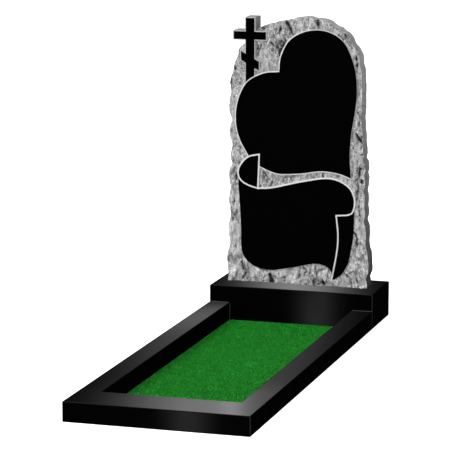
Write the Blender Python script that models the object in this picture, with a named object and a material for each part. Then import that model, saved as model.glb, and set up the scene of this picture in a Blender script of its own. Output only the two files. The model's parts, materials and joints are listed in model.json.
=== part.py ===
"""Upright headstone: a carved slab on its stand, with the kerb and the turf bed in front of it.

Metres, +Z up. X runs across the grave and Y from its foot end to the slab. The origin is on the ground,
in the middle of the whole set.
"""
import math

import bmesh
import bpy
import numpy as np
from mathutils import Vector, geometry, noise

# The set as a whole
SET_WIDTH = 0.600
FIT_GAP = 0.0003

# Stand: the block under the slab
STAND_DEPTH = 0.250
STAND_HEIGHT = 0.125

# Kerb: three bars round the bed, flush with the stand's sides
BED_RUN = 1.500
KERB_HEIGHT = 0.065
SIDE_BAR_WIDTH = 0.075
FRONT_BAR_WIDTH = 0.150
BAR_BEVEL = 0.0025

# Turf
TURF_THICKNESS = 0.006
TURF_CLEARANCE = 0.002
TURF_WAVE = 0.001
TURF_CELL = 0.045

# Slab
SLAB_WIDTH = 0.500
SLAB_HEIGHT = 0.965
SLAB_THICKNESS = 0.070
SLAB_SETBACK = 0.090

# Carving on the slab's face
GROUND_DEPTH = 0.0065
GROUND_RELIEF = 0.010
HEWN_GRAIN = 0.034
LINE_DEPTH = 0.0015
LINE_WIDTH = 0.0039
CROSS_LINE_WIDTH = 0.0032
SCROLL_LINE_WIDTH = 0.0055
SIDE_RELIEF = 0.004
SIDE_STEPS = (0.30, 0.68)
CURVE_STEP = 0.010
FACET_STEP = 0.021

# The face is drawn in millimetres from the middle of the slab's foot, on a slab of this size.
# It is stretched with the slab's width and height.
DRAWN_WIDTH = 500.0
DRAWN_HEIGHT = 965.0

# The slab's edge, from its foot on the left over the top to its foot on the right
SLAB_EDGE = ((-259, 0), (-264, 84), (-258, 190), (-258, 292), (-257, 394), (-252, 460), (-256, 542),
             (-257, 636), (-253, 724), (-241, 772), (-237, 790), (-224, 818), (-219, 842), (-196, 864),
             (-139, 921), (-62, 943), (18, 959), (78, 953), (104, 946), (146, 922), (176, 902),
             (208, 851), (222, 820), (230, 766), (232, 650), (233, 560), (238, 494), (245, 430),
             (245, 307), (247, 266), (251, 190), (260, 78), (255, 0))

# Bites struck from that edge: place across, height, depth, reach
EDGE_BITES = ((-259, 22, 3, 12), (-261, 140, 9, 26), (-258, 250, 8, 24), (-257, 342, 6, 24),
              (-254, 428, 7, 18), (-254, 496, 10, 22), (-256, 586, 9, 24), (-255, 684, 6, 22),
              (-247, 757, 2, 10), (-108, 931, 3, 14), (-36, 949, 2, 12), (52, 957, 3, 14),
              (128, 934, 4, 14), (158, 914, 3, 12), (196, 872, 4, 14), (228, 798, 4, 14),
              (232, 604, 2, 22), (240, 464, 6, 12), (245, 408, 3, 10), (245, 348, 6, 12),
              (245, 292, 2, 10), (249, 240, 7, 16), (254, 156, 5, 24), (258, 36, 6, 14))

# The heart: its left and right lobes meet at the cleft, and a wave cuts it off below
HEART_LEFT = ((-70, 764), (-129, 756), (-189, 722), (-222, 657), (-230, 584), (-216, 520), (-183, 460))
HEART_FOOT = ((-183, 460), (-165, 436), (-141, 423), (-75, 400), (8, 404), (86, 416), (150, 410),
              (195, 395))
HEART_RIGHT = ((195, 395), (190, 465), (194, 547), (208, 635), (214, 710), (204, 792), (167, 874),
               (106, 912), (33, 912), (-31, 878), (-63, 820), (-70, 764))

# The scroll: a sheet whose left end curls forward and whose right end hangs in a strip
CURL_ROUND = ((-143, 466), (-183, 456), (-210, 430), (-222, 401), (-214, 373), (-186, 354), (-148, 343))
CURL_CUT = ((-148, 343), (-143, 466))
SHEET_LEFT = ((-216, 405), (-220, 353), (-214, 272), (-210, 190), (-209, 130), (-199, 93), (-169, 64),
              (-140, 52))
SHEET_FOOT = ((-140, 52), (-98, 48), (-15, 63), (59, 80), (96, 77), (117, 66), (126, 51), (126, 23))
STRIP_RIGHT = ((126, 23), (162, 46), (186, 88), (198, 141), (206, 194), (208, 286))
SCROLL_TOP = ((-148, 343), (-91, 349), (8, 374), (98, 391), (149, 385), (190, 360), (208, 322),
              (205, 283), (189, 265), (142, 259))
STRIP_LEFT = ((142, 259), (149, 190), (145, 125), (126, 23))

# The cross: its own post, arm and sloping foot arm, standing proud of the slab's shoulder
POST_LEFT, POST_RIGHT = -193.5, -161.5
POST_TOP, POST_FOOT = 952, 715
ARM_LEFT, ARM_RIGHT = -238, -119
ARM_TOP, ARM_UNDERSIDE = 903.5, 876
FOOT_ARM_LEFT, FOOT_ARM_RIGHT = -211, -145
FOOT_ARM_TOP, FOOT_ARM_THICKNESS = 834, 32
FOOT_ARM_DROP = 0.55

# Finishes: base colour, roughness
POLISHED = ("black_polished_gabbro", (0.006, 0.006, 0.007, 1.0), 0.08)
HEWN = ("split_gabbro", (0.42, 0.42, 0.42, 1.0), 0.85)
TURF = ("short_turf", (0.013, 0.20, 0.018, 1.0), 0.9)

# What a part of the face is. A later one lies over an earlier one.
GROUND, LINE, POLISH = "ground", "line", "polish"

# Places that follow from the sizes
SET_LENGTH = BED_RUN + STAND_DEPTH
FOOT_Y = -SET_LENGTH / 2
STAND_FRONT_Y = FOOT_Y + BED_RUN
STAND_BACK_Y = STAND_FRONT_Y + STAND_DEPTH
BED_FRONT_Y = FOOT_Y + FRONT_BAR_WIDTH
BED_HALF_WIDTH = SET_WIDTH / 2 - SIDE_BAR_WIDTH
SLAB_FRONT_Y = STAND_FRONT_Y + SLAB_SETBACK
SLAB_FOOT_Z = STAND_HEIGHT + FIT_GAP


def clear_scene():
    """Remove the objects that a new file starts with."""
    for old in list(bpy.data.objects):
        bpy.data.objects.remove(old, do_unlink=True)


def make_material(finish):
    """Return the Principled material of a finish, made once."""
    name, colour, roughness = finish
    material = bpy.data.materials.get(name)
    if material is None:
        material = bpy.data.materials.new(name)
        material.use_nodes = True
        shader = material.node_tree.nodes["Principled BSDF"]
        shader.inputs["Base Color"].default_value = colour
        shader.inputs["Roughness"].default_value = roughness
        shader.inputs["Metallic"].default_value = 0.0
    return material


def add_object(name, mesh, *finishes):
    """Put a mesh into the scene as one named piece."""
    piece = bpy.data.objects.new(name, mesh)
    bpy.context.scene.collection.objects.link(piece)
    for finish in finishes:
        mesh.materials.append(make_material(finish))
    return piece


def add_block(name, low, high):
    """Make a polished block between two corners, with a small bevel on every edge."""
    low, high = Vector(low), Vector(high)
    shape = bmesh.new()
    bmesh.ops.create_cube(shape, size=1.0)
    bmesh.ops.scale(shape, vec=high - low, verts=shape.verts)
    mesh = bpy.data.meshes.new(name)
    shape.to_mesh(mesh)
    shape.free()
    block = add_object(name, mesh, POLISHED)
    block.location = (low + high) / 2
    bevel = block.modifiers.new("edges", "BEVEL")
    bevel.width = min(BAR_BEVEL, 0.2 * min(high - low))
    bevel.segments = 2
    bevel.limit_method = "ANGLE"
    return block


def add_turf():
    """Make the turf: a closed mat whose top swells by a millimetre or two between the bars."""
    half = BED_HALF_WIDTH - TURF_CLEARANCE
    front = BED_FRONT_Y + TURF_CLEARANCE
    back = STAND_FRONT_Y - TURF_CLEARANCE
    columns = max(2, round(2 * half / TURF_CELL))
    rows = max(2, round((back - front) / TURF_CELL))
    shape = bmesh.new()
    top = []
    for j in range(rows + 1):
        for i in range(columns + 1):
            x = -half + 2 * half * i / columns
            y = front + (back - front) * j / rows
            swell = noise.noise(Vector((x, y, 0)) / (2 * TURF_CELL))
            top.append(shape.verts.new((x, y, TURF_THICKNESS - TURF_WAVE * (1 - swell) / 2)))
    bottom = [shape.verts.new((v.co.x, v.co.y, 0)) for v in top]
    wide = columns + 1
    for j in range(rows):
        for i in range(columns):
            a = j * wide + i
            shape.faces.new([top[k] for k in (a, a + 1, a + 1 + wide, a + wide)])
    rim = [i for i in range(wide)]
    rim += [j * wide + columns for j in range(1, rows + 1)]
    rim += [rows * wide + i for i in range(columns - 1, -1, -1)]
    rim += [j * wide for j in range(rows - 1, 0, -1)]
    for a, b in zip(rim, rim[1:] + rim[:1]):
        shape.faces.new([bottom[a], bottom[b], top[b], top[a]])
    shape.faces.new([bottom[k] for k in reversed(rim)])
    loose = [v for v in shape.verts if not v.link_faces]
    bmesh.ops.delete(shape, geom=loose, context="VERTS")
    mesh = bpy.data.meshes.new("turf_mat")
    shape.to_mesh(mesh)
    shape.free()
    return add_object("turf_mat", mesh, TURF)


def on_face(drawn):
    """Turn points drawn in millimetres into metres on the slab's face."""
    scale = (SLAB_WIDTH / DRAWN_WIDTH, SLAB_HEIGHT / DRAWN_HEIGHT)
    return np.array(drawn, dtype=float) * scale


def curve(drawn, step=CURVE_STEP):
    """Return a smooth curve through drawn points, with a point about every step."""
    knots = on_face(drawn)
    padded = np.vstack([2 * knots[0] - knots[1], knots, 2 * knots[-1] - knots[-2]])
    pieces = []
    for before, start, end, after in zip(padded, padded[1:], padded[2:], padded[3:]):
        count = max(1, round(np.linalg.norm(end - start) / step))
        t = np.arange(count)[:, None] / count
        leave = (end - before) / 2
        arrive = (after - start) / 2
        pieces.append((2 * t**3 - 3 * t**2 + 1) * start + (t**3 - 2 * t**2 + t) * leave
                      + (3 * t**2 - 2 * t**3) * end + (t**3 - t**2) * arrive)
    return np.vstack(pieces + [knots[-1:]])


def joined(*stretches):
    """Join curves end to end into one closed loop."""
    return np.vstack([stretch[:-1] for stretch in stretches])


def anticlockwise(loop):
    """Return the loop turned so that its inside is on the left."""
    following = np.roll(loop, -1, axis=0)
    area = np.sum(loop[:, 0] * following[:, 1] - following[:, 0] * loop[:, 1])
    return loop if area > 0 else loop[::-1]


def shifted(path, distance, closed):
    """Shift a path sideways to its right, with mitred corners and without the points that fold back."""
    if closed:
        before, after = np.roll(path, 1, axis=0), np.roll(path, -1, axis=0)
    else:
        before = np.vstack([path[:1], path[:-1]])
        after = np.vstack([path[1:], path[-1:]])
    arriving, leaving = path - before, after - path
    if not closed:
        arriving[0], leaving[-1] = leaving[0], arriving[-1]
    arriving /= np.linalg.norm(arriving, axis=1, keepdims=True)
    leaving /= np.linalg.norm(leaving, axis=1, keepdims=True)
    normal = np.stack([arriving[:, 1] + leaving[:, 1], -arriving[:, 0] - leaving[:, 0]], axis=1)
    mitre = np.maximum(np.sum(normal**2, axis=1, keepdims=True) / 2, 0.5)
    moved = path + distance * normal / mitre
    start, run = path, (after - path)
    length = np.maximum(np.sum(run**2, axis=1), 1e-12)
    offset = moved[:, None] - start[None]
    along = np.clip(np.sum(offset * run[None], axis=2) / length, 0, 1)
    gap = np.linalg.norm(offset - along[..., None] * run[None], axis=2).min(axis=1)
    return moved[gap > abs(distance) * 0.97]


def band(path, width):
    """Return the closed outline of a line of even width drawn along an open path."""
    return np.vstack([shifted(path, width / 2, False), shifted(path, -width / 2, False)[::-1]])


def slab_outline():
    """Return the slab's edge: the drawn curve with every bite struck inwards from it."""
    edge = curve(SLAB_EDGE)
    run = np.gradient(edge, axis=0)
    inward = np.stack([run[:, 1], -run[:, 0]], axis=1)
    inward /= np.linalg.norm(inward, axis=1, keepdims=True)
    for across, height, depth, reach in EDGE_BITES:
        centre = on_face((across, height))
        depth, reach = np.array((depth, reach)) * SLAB_WIDTH / DRAWN_WIDTH
        away = np.sum((edge - centre) ** 2, axis=1) / reach**2
        edge = edge + inward * (depth * np.exp(-away))[:, None]
    edge[[0, -1], 1] = 0.0
    return edge


def cross_outline():
    """Return the cross: the post with its level arm and its sloping foot arm."""
    def slope(x, y):
        return y - FOOT_ARM_DROP * (x - FOOT_ARM_LEFT)

    upper, lower = FOOT_ARM_TOP, FOOT_ARM_TOP - FOOT_ARM_THICKNESS
    return on_face((
        (POST_LEFT, POST_TOP), (POST_LEFT, ARM_TOP), (ARM_LEFT, ARM_TOP), (ARM_LEFT, ARM_UNDERSIDE),
        (POST_LEFT, ARM_UNDERSIDE), (POST_LEFT, slope(POST_LEFT, upper)), (FOOT_ARM_LEFT, upper),
        (FOOT_ARM_LEFT, lower), (POST_LEFT, slope(POST_LEFT, lower)), (POST_LEFT, POST_FOOT),
        (POST_RIGHT, POST_FOOT), (POST_RIGHT, slope(POST_RIGHT, lower)),
        (FOOT_ARM_RIGHT, slope(FOOT_ARM_RIGHT, lower)), (FOOT_ARM_RIGHT, slope(FOOT_ARM_RIGHT, upper)),
        (POST_RIGHT, slope(POST_RIGHT, upper)), (POST_RIGHT, ARM_UNDERSIDE), (ARM_RIGHT, ARM_UNDERSIDE),
        (ARM_RIGHT, ARM_TOP), (POST_RIGHT, ARM_TOP), (POST_RIGHT, POST_TOP)))


def face_layers():
    """Return the face's closed outlines, lowest first, each with what it is made of."""
    cross = anticlockwise(cross_outline())
    heart = anticlockwise(joined(curve(HEART_LEFT), curve(HEART_FOOT), curve(HEART_RIGHT)))
    sheet = anticlockwise(joined(curve(SHEET_LEFT), curve(SHEET_FOOT), curve(STRIP_RIGHT),
                                 curve(SCROLL_TOP[-3::-1]), curve((SCROLL_TOP[0], SHEET_LEFT[0]))))
    curl = anticlockwise(joined(curve(CURL_ROUND), curve(CURL_CUT)))
    top_line = np.vstack([curve(SCROLL_TOP), curve(STRIP_LEFT)[1:]])
    half_line = SCROLL_LINE_WIDTH / 2
    return [
        (slab_outline(), GROUND),
        (shifted(cross, CROSS_LINE_WIDTH, True), LINE),
        (cross, POLISH),
        (shifted(heart, LINE_WIDTH, True), LINE),
        (heart, POLISH),
        (sheet, POLISH),
        (band(top_line, SCROLL_LINE_WIDTH), LINE),
        (shifted(curl, half_line, True), LINE),
        (shifted(curl, -half_line, True), POLISH),
    ]


def inside(points, loop):
    """Tell which points lie inside a closed loop, by counting the edges to their right."""
    start, end = loop[None], np.roll(loop, -1, axis=0)[None]
    x, y = points[:, :1], points[:, 1:]
    spans = (start[..., 1] > y) != (end[..., 1] > y)
    rise = np.where(spans, end[..., 1] - start[..., 1], 1.0)
    crossing = start[..., 0] + (y - start[..., 1]) / rise * (end[..., 0] - start[..., 0])
    return (spans & (x < crossing)).sum(axis=1) % 2 == 1


def facet_points(layers):
    """Return the corners of the hewn facets: a triangular grid on the ground, clear of every edge."""
    edges = np.vstack([loop for loop, _ in layers])
    low, high = edges.min(axis=0), edges.max(axis=0)
    rows = np.arange(low[1], high[1], FACET_STEP * math.sqrt(3) / 2)
    columns = np.arange(low[0], high[0], FACET_STEP)
    grid = np.array([(x + (j % 2) * FACET_STEP / 2, y) for j, y in enumerate(rows) for x in columns])
    keep = inside(grid, layers[0][0])
    for loop, made_of in layers[1:]:
        keep &= ~inside(grid, loop)
    near = np.linalg.norm(grid[:, None] - edges[None], axis=2).min(axis=1) < 0.45 * FACET_STEP
    return grid[keep & ~near]


def hewn_depth(x, z):
    """Return how far the struck ground lies behind the polished face at one place."""
    coarse = noise.noise(Vector((x, 0.0, z)) / (2.2 * HEWN_GRAIN))
    fine = noise.noise(Vector((x, 1.0, z)) / HEWN_GRAIN)
    return GROUND_DEPTH - GROUND_RELIEF * (0.6 * coarse + 0.4 * fine)


def triangulated_face():
    """Lay the layers over each other and cut the face into triangles, each of one kind."""
    layers = face_layers()
    loops = [anticlockwise(loop) for loop, _ in layers]
    points = np.vstack(loops + [facet_points(layers)])
    faces, first = [], 0
    for loop in loops:
        faces.append(list(range(first, first + len(loop))))
        first += len(loop)
    corners, _, triangles, _, _, owners = geometry.delaunay_2d_cdt(
        [Vector(p) for p in points], [], faces, 1, 1e-6)
    kinds = [layers[max(owner)][1] if owner else GROUND for owner in owners]
    return corners, triangles, kinds


class SlabMesh:
    """The slab as one closed surface: the face's triangles at their depths, the walls between them,
    the struck sides and the sawn back."""

    def __init__(self):
        self.corners, self.triangles, self.kinds = triangulated_face()
        self.shape = bmesh.new()
        self.made = {}
        self.levels = {}

    def depth(self, corner, kind):
        """Return how far behind the polished face a corner lies."""
        if kind == POLISH:
            return 0.0
        if kind == LINE:
            return LINE_DEPTH
        x, z = self.corners[corner]
        return max(hewn_depth(x, z), LINE_DEPTH + 0.001)

    def vertex(self, corner, kind):
        """Return the vertex of a corner on the level of one kind."""
        if (corner, kind) not in self.made:
            x, z = self.corners[corner]
            depth = self.depth(corner, kind)
            self.made[corner, kind] = self.shape.verts.new(
                (x, SLAB_FRONT_Y + depth, SLAB_FOOT_Z + z))
            self.levels.setdefault(corner, []).append((depth, kind))
        return self.made[corner, kind]

    def upright(self, corner, kind_a, kind_b):
        """List a corner's vertices from one level to another, with those in between."""
        depth_a, depth_b = self.depth(corner, kind_a), self.depth(corner, kind_b)
        low, high = min(depth_a, depth_b), max(depth_a, depth_b)
        between = sorted(level for level in self.levels[corner] if low <= level[0] <= high)
        if depth_a > depth_b:
            between.reverse()
        return [self.made[corner, kind] for _, kind in between]

    def add_face(self, vertices):
        """Add one face, without corners that fall together."""
        kept = [v for v, after in zip(vertices, vertices[1:] + vertices[:1]) if v is not after]
        if len(kept) > 2:
            self.shape.faces.new(kept)

    def ring_vertex(self, corner, outward, share):
        """Return a corner's vertex on the struck side, a share of the way from the face to the back."""
        key = (corner, share)
        if key not in self.made:
            x, z = self.corners[corner]
            push = 0.0
            if 0.001 < z and share < 1.0 and not self.on_cross(corner):
                push = SIDE_RELIEF * noise.noise(Vector((x, share, z)) / HEWN_GRAIN)
            self.made[key] = self.shape.verts.new(
                (x + outward[0] * push, SLAB_FRONT_Y + share * SLAB_THICKNESS,
                 SLAB_FOOT_Z + z + outward[1] * push))
        return self.made[key]

    def on_cross(self, corner):
        """Tell whether a corner of the rim belongs to the cross and not to the slab's edge."""
        return any(kind != GROUND for _, kind in self.levels[corner])

    def build(self):
        """Make every face and return the mesh."""
        owner_of_edge = {}
        for triangle, kind in zip(self.triangles, self.kinds):
            self.shape.faces.new([self.vertex(corner, kind) for corner in triangle])
            for a, b in zip(triangle, triangle[1:] + triangle[:1]):
                owner_of_edge[a, b] = kind
        rim = {}
        for (a, b), kind in owner_of_edge.items():
            other = owner_of_edge.get((b, a))
            if other is None:
                rim[a] = (b, kind)
            elif other != kind and a < b:
                self.add_face(self.upright(a, kind, other) + self.upright(b, other, kind))
        self.add_sides(rim)
        bmesh.ops.recalc_face_normals(self.shape, faces=self.shape.faces)
        bmesh.ops.triangulate(self.shape, faces=self.shape.faces)
        mesh = bpy.data.meshes.new("headstone")
        self.shape.to_mesh(mesh)
        self.shape.free()
        return mesh

    def add_sides(self, rim):
        """Carry the face's rim back to the sawn back in steps."""
        start = min(rim)
        loop = [start]
        while rim[loop[-1]][0] != start:
            loop.append(rim[loop[-1]][0])
        places = np.array([self.corners[corner] for corner in loop])
        run = np.roll(places, -1, axis=0) - np.roll(places, 1, axis=0)
        outward = np.stack([run[:, 1], -run[:, 0]], axis=1)
        outward /= np.linalg.norm(outward, axis=1, keepdims=True)
        shares = (*SIDE_STEPS, 1.0)
        rings = [[self.ring_vertex(corner, out, share) for corner, out in zip(loop, outward)]
                 for share in shares]
        count = len(loop)
        for i in range(count):
            j = (i + 1) % count
            kind = rim[loop[i]][1]
            deepest_i = max(self.levels[loop[i]])[1]
            deepest_j = max(self.levels[loop[j]])[1]
            self.add_face(self.upright(loop[i], deepest_i, kind) + self.upright(loop[j], kind, deepest_j)
                          + [rings[0][j], rings[0][i]])
            for near, far in zip(rings, rings[1:]):
                self.add_face([near[i], near[j], far[j], far[i]])
        self.add_face(rings[-1][::-1])


def build_part():
    """Make every piece of the set."""
    clear_scene()
    half = SET_WIDTH / 2
    add_block("stand", (-half, STAND_FRONT_Y, 0), (half, STAND_BACK_Y, STAND_HEIGHT))
    add_block("kerb_front", (-half, FOOT_Y, 0), (half, BED_FRONT_Y, KERB_HEIGHT))
    for name, side in (("kerb_left", -1), ("kerb_right", 1)):
        edges = sorted((side * half, side * BED_HALF_WIDTH))
        add_block(name, (edges[0], BED_FRONT_Y + FIT_GAP, 0),
                  (edges[1], STAND_FRONT_Y - FIT_GAP, KERB_HEIGHT))
    add_turf()
    add_object("headstone", SlabMesh().build(), HEWN)


build_part()
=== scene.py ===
"""Looks for an upright headstone with its kerb set.

The carved slab, its polished stand and kerb, and the turf bed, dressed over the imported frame.
Metres, +Z up; X runs across the grave and Y from its foot end to the slab.
"""
import json
import logging
import math
from dataclasses import dataclass, field
from enum import IntEnum
from itertools import product

import bpy
import numpy as np
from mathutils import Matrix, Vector, geometry
from numpy.typing import NDArray

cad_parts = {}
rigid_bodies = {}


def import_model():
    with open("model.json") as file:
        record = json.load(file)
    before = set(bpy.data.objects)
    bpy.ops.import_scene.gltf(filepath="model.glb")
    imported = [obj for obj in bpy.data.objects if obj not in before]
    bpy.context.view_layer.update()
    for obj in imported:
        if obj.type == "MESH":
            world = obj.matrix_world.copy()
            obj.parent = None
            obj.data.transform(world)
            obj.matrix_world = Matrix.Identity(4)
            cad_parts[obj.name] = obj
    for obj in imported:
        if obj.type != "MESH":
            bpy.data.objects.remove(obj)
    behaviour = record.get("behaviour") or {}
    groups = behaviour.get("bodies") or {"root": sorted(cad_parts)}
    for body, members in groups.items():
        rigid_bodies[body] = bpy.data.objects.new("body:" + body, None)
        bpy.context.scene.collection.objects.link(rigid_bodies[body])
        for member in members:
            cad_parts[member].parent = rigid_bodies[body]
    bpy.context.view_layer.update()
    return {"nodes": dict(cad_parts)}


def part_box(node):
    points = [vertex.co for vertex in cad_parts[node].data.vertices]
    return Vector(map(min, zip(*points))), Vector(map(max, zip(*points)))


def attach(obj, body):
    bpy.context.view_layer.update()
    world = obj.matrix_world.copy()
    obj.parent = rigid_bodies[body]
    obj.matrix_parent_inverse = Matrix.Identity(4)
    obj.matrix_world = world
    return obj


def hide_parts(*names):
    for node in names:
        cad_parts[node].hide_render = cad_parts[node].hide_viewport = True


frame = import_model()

ROOT = "root"
MM = 0.001

Floats = NDArray[np.float64]
Whole = NDArray[np.int64]
Flags = NDArray[np.bool_]
Drawn = tuple[tuple[float, float], ...]
Stroke = tuple[float, float, float, float, float, float]
Colour = tuple[float, float, float, float]
Socket = bpy.types.NodeSocket

# Points are measured against outlines in this many batches, which bounds the memory.
BATCHES = 60
# A mitre reaches no further than a shift divided by this.
MITRE_LIMIT = 0.5
# A shifted point nearer to its path than this share of the shift has folded back.
FOLD_SHARE = 0.97
# The smallest squared length of a side, so that one of no length divides nothing by 0.
SMALLEST = 1e-12

log = logging.getLogger("headstone")


def linear(code: str) -> Colour:
    """Turn an sRGB hex colour into linear light, channel by channel.

    Args:
        code: six hex digits, such as "8a8a8c".
    Returns:
        Red, green, blue and an alpha of 1.
    """
    parts = [int(code[i:i + 2], 16) / 255 for i in (0, 2, 4)]
    red, green, blue = (p / 12.92 if p <= 0.04045 else ((p + 0.055) / 1.055) ** 2.4 for p in parts)
    return red, green, blue, 1.0


def add_node(tree: bpy.types.NodeTree, kind: str, inputs: dict[int | str, object] | None = None,
             **settings: object) -> bpy.types.Node:
    """Add a node, with its settings and what goes into its sockets.

    Args:
        tree: the node tree.
        kind: the node's Blender type.
        inputs: socket name or number to a value, or to the output socket it is linked from.
        settings: the node's own properties.
    Returns:
        The new node.
    """
    node = tree.nodes.new(kind)
    for name, value in settings.items():
        setattr(node, name, value)
    for key, value in (inputs or {}).items():
        if isinstance(value, bpy.types.NodeSocket):
            tree.links.new(value, node.inputs[key])
        else:
            node.inputs[key].default_value = value
    return node


def start_material(name: str) -> tuple[bpy.types.Material, bpy.types.NodeTree]:
    """Return a new material and its node tree, emptied.

    Args:
        name: the finish's name.
    Returns:
        The material and its tree.
    """
    material = bpy.data.materials.new(name)
    material.use_nodes = True
    material.node_tree.nodes.clear()
    return material, material.node_tree


def direction(azimuth: float, elevation: float) -> Vector:
    """Return the direction that stands at an azimuth and elevation.

    Args:
        azimuth: degrees round from -Y, the foot end's side, towards +X.
        elevation: degrees above the ground.
    Returns:
        A vector of length 1.
    """
    turn, up = math.radians(azimuth), math.radians(elevation)
    return Vector((math.sin(turn) * math.cos(up), -math.cos(turn) * math.cos(up), math.sin(up)))


def smoothstep(value: Floats, low: float, high: float) -> Floats:
    """Rise from 0 at low to 1 at high along 3t^2 - 2t^3.

    Args:
        value: where to read the step.
        low: where it leaves 0.
        high: where it reaches 1.
    Returns:
        The step at every value.
    """
    t = np.clip((value - low) / (high - low), 0.0, 1.0)
    return t * t * (3 - 2 * t)


@dataclass(frozen=True)
class StoneNoise:
    """Smooth noise in space: a random slope at each whole lattice point, blended between the points."""

    seed: int
    table_size: int = 256
    contrast: float = 1.6

    def tables(self) -> tuple[Whole, Floats]:
        """Draw the lattice's random numbers from the seed.

        Returns:
            The shuffle of the lattice, and a slope of length 1 for each of its entries.
        """
        rng = np.random.default_rng(self.seed)
        slopes = rng.normal(size=(self.table_size, 3))
        return rng.permutation(self.table_size), slopes / np.linalg.norm(slopes, axis=1, keepdims=True)

    def at(self, places: Floats, grain: tuple[float, float, float]) -> Floats:
        """Read the noise, from about -1 to 1.

        Each of a cell's eight corners gives its slope times the way from that corner, and they are
        blended by 6t^5 - 15t^4 + 10t^3 along each axis.

        Args:
            places: points, one a row.
            grain: the cell's size along X, Y and Z.
        Returns:
            One value for each point.
        """
        shuffle, slopes = self.tables()
        scaled = places / np.array(grain)
        cell = np.floor(scaled).astype(np.int64)
        part = scaled - cell
        fade = part**3 * (part * (part * 6 - 15) + 10)
        total = np.zeros(len(places))
        for corner in product((0, 1), repeat=3):
            at = (cell + corner) % self.table_size
            index = shuffle[(shuffle[(shuffle[at[:, 0]] + at[:, 1]) % self.table_size] + at[:, 2])
                            % self.table_size]
            weight = np.prod(np.where(corner, fade, 1 - fade), axis=1)
            total += weight * np.sum(slopes[index] * (part - corner), axis=1)
        return total * self.contrast


@dataclass
class MeshParts:
    """Corners and faces of one mesh, gathered as whole arrays."""

    places: Floats
    faces: list[Whole] = field(default_factory=list)
    slots: list[Whole] = field(default_factory=list)
    smooth: list[Flags] = field(default_factory=list)

    def add(self, faces: Whole, slot: int | Whole, smooth: bool) -> None:
        """Add faces that all have the same number of corners.

        Args:
            faces: corner numbers, one face a row.
            slot: the material slot, one for all or one a face.
            smooth: whether they are shaded smooth.
        """
        if len(faces):
            self.faces.append(faces)
            self.slots.append(np.broadcast_to(np.asarray(slot), (len(faces),)))
            self.smooth.append(np.full(len(faces), smooth))

    def mesh(self, name: str, values: dict[str, Floats] | None = None) -> bpy.types.Mesh:
        """Put the arrays into a mesh, without the corners that no face uses.

        Args:
            name: the mesh's name.
            values: point attributes, one number for each corner.
        Returns:
            The mesh.
        """
        corners = np.concatenate([f.ravel() for f in self.faces])
        used, renamed = np.unique(corners, return_inverse=True)
        sizes = np.concatenate([np.full(len(f), f.shape[1]) for f in self.faces])
        mesh = bpy.data.meshes.new(name)
        mesh.vertices.add(len(used))
        mesh.vertices.foreach_set("co", self.places[used].astype(np.float32).ravel())
        mesh.loops.add(len(renamed))
        mesh.loops.foreach_set("vertex_index", renamed.astype(np.int32).ravel())
        mesh.polygons.add(len(sizes))
        mesh.polygons.foreach_set("loop_start", (np.cumsum(sizes) - sizes).astype(np.int32))
        mesh.polygons.foreach_set("material_index", np.concatenate(self.slots).astype(np.int32))
        mesh.polygons.foreach_set("use_smooth", np.concatenate(self.smooth))
        for label, numbers in (values or {}).items():
            layer = mesh.attributes.new(label, "FLOAT", "POINT")
            layer.data.foreach_set("value", numbers[used].astype(np.float32))
        mesh.update(calc_edges=True)
        mesh.validate()
        return mesh


def add_piece(name: str, mesh: bpy.types.Mesh, materials: list[bpy.types.Material],
              nodes: tuple[str, ...] = ()) -> bpy.types.Object:
    """Put a finished mesh into the scene as a piece that rides on the root body.

    Args:
        name: the piece's name.
        mesh: its mesh, already in place.
        materials: one for each of its slots.
        nodes: the frame's nodes that it stands for.
    Returns:
        The piece.
    """
    piece = bpy.data.objects.new(name, mesh)
    bpy.context.scene.collection.objects.link(piece)
    for material in materials:
        mesh.materials.append(material)
    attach(piece, ROOT)
    if nodes:
        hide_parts(*nodes)
    log.info("%s: %d corners, %d faces", name, len(mesh.vertices), len(mesh.polygons))
    return piece


@dataclass(frozen=True)
class PolishedGabbro:
    """Black gabbro, ground and polished to a mirror: black glass at a glance, with a faint dark grain."""

    name: str = "polished_gabbro"
    ground: str = "020202"
    crystal: str = "0c0c0d"
    crystal_size: float = 1.8 * MM
    specular: float = 0.5
    roughness: float = 0.03

    def material(self) -> bpy.types.Material:
        """Make dark crystals that come and go in a black ground, all under one polish.

        Returns:
            The material.
        """
        material, tree = start_material(self.name)
        where = add_node(tree, "ShaderNodeTexCoord").outputs["Object"]
        grain = add_node(tree, "ShaderNodeTexNoise", {
            "Vector": where, "Scale": 1 / self.crystal_size, "Detail": 3.0, "Roughness": 0.7})
        cloud = add_node(tree, "ShaderNodeTexNoise", {
            "Vector": where, "Scale": 1 / (40 * self.crystal_size), "Detail": 2.0})
        flecks = add_node(tree, "ShaderNodeMapRange", {
            "Value": grain.outputs["Fac"], "From Min": 0.52, "From Max": 0.78, "To Min": 0.0, "To Max": 1.0})
        drift = add_node(tree, "ShaderNodeMapRange", {
            "Value": cloud.outputs["Fac"], "From Min": 0.3, "From Max": 0.7, "To Min": 0.35, "To Max": 1.0})
        amount = add_node(tree, "ShaderNodeMath", {
            0: flecks.outputs["Result"], 1: drift.outputs["Result"]}, operation="MULTIPLY")
        colour = add_node(tree, "ShaderNodeMix", {
            0: amount.outputs[0], 6: linear(self.ground), 7: linear(self.crystal)}, data_type="RGBA")
        gloss = add_node(tree, "ShaderNodeMapRange", {
            "Value": cloud.outputs["Fac"], "From Min": 0.3, "From Max": 0.7,
            "To Min": self.roughness * 0.8, "To Max": self.roughness * 1.3})
        shader = add_node(tree, "ShaderNodeBsdfPrincipled", {
            "Base Color": colour.outputs[2], "Roughness": gloss.outputs["Result"],
            "Specular IOR Level": self.specular, "Metallic": 0.0})
        add_node(tree, "ShaderNodeOutputMaterial", {"Surface": shader.outputs[0]})
        return material


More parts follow.
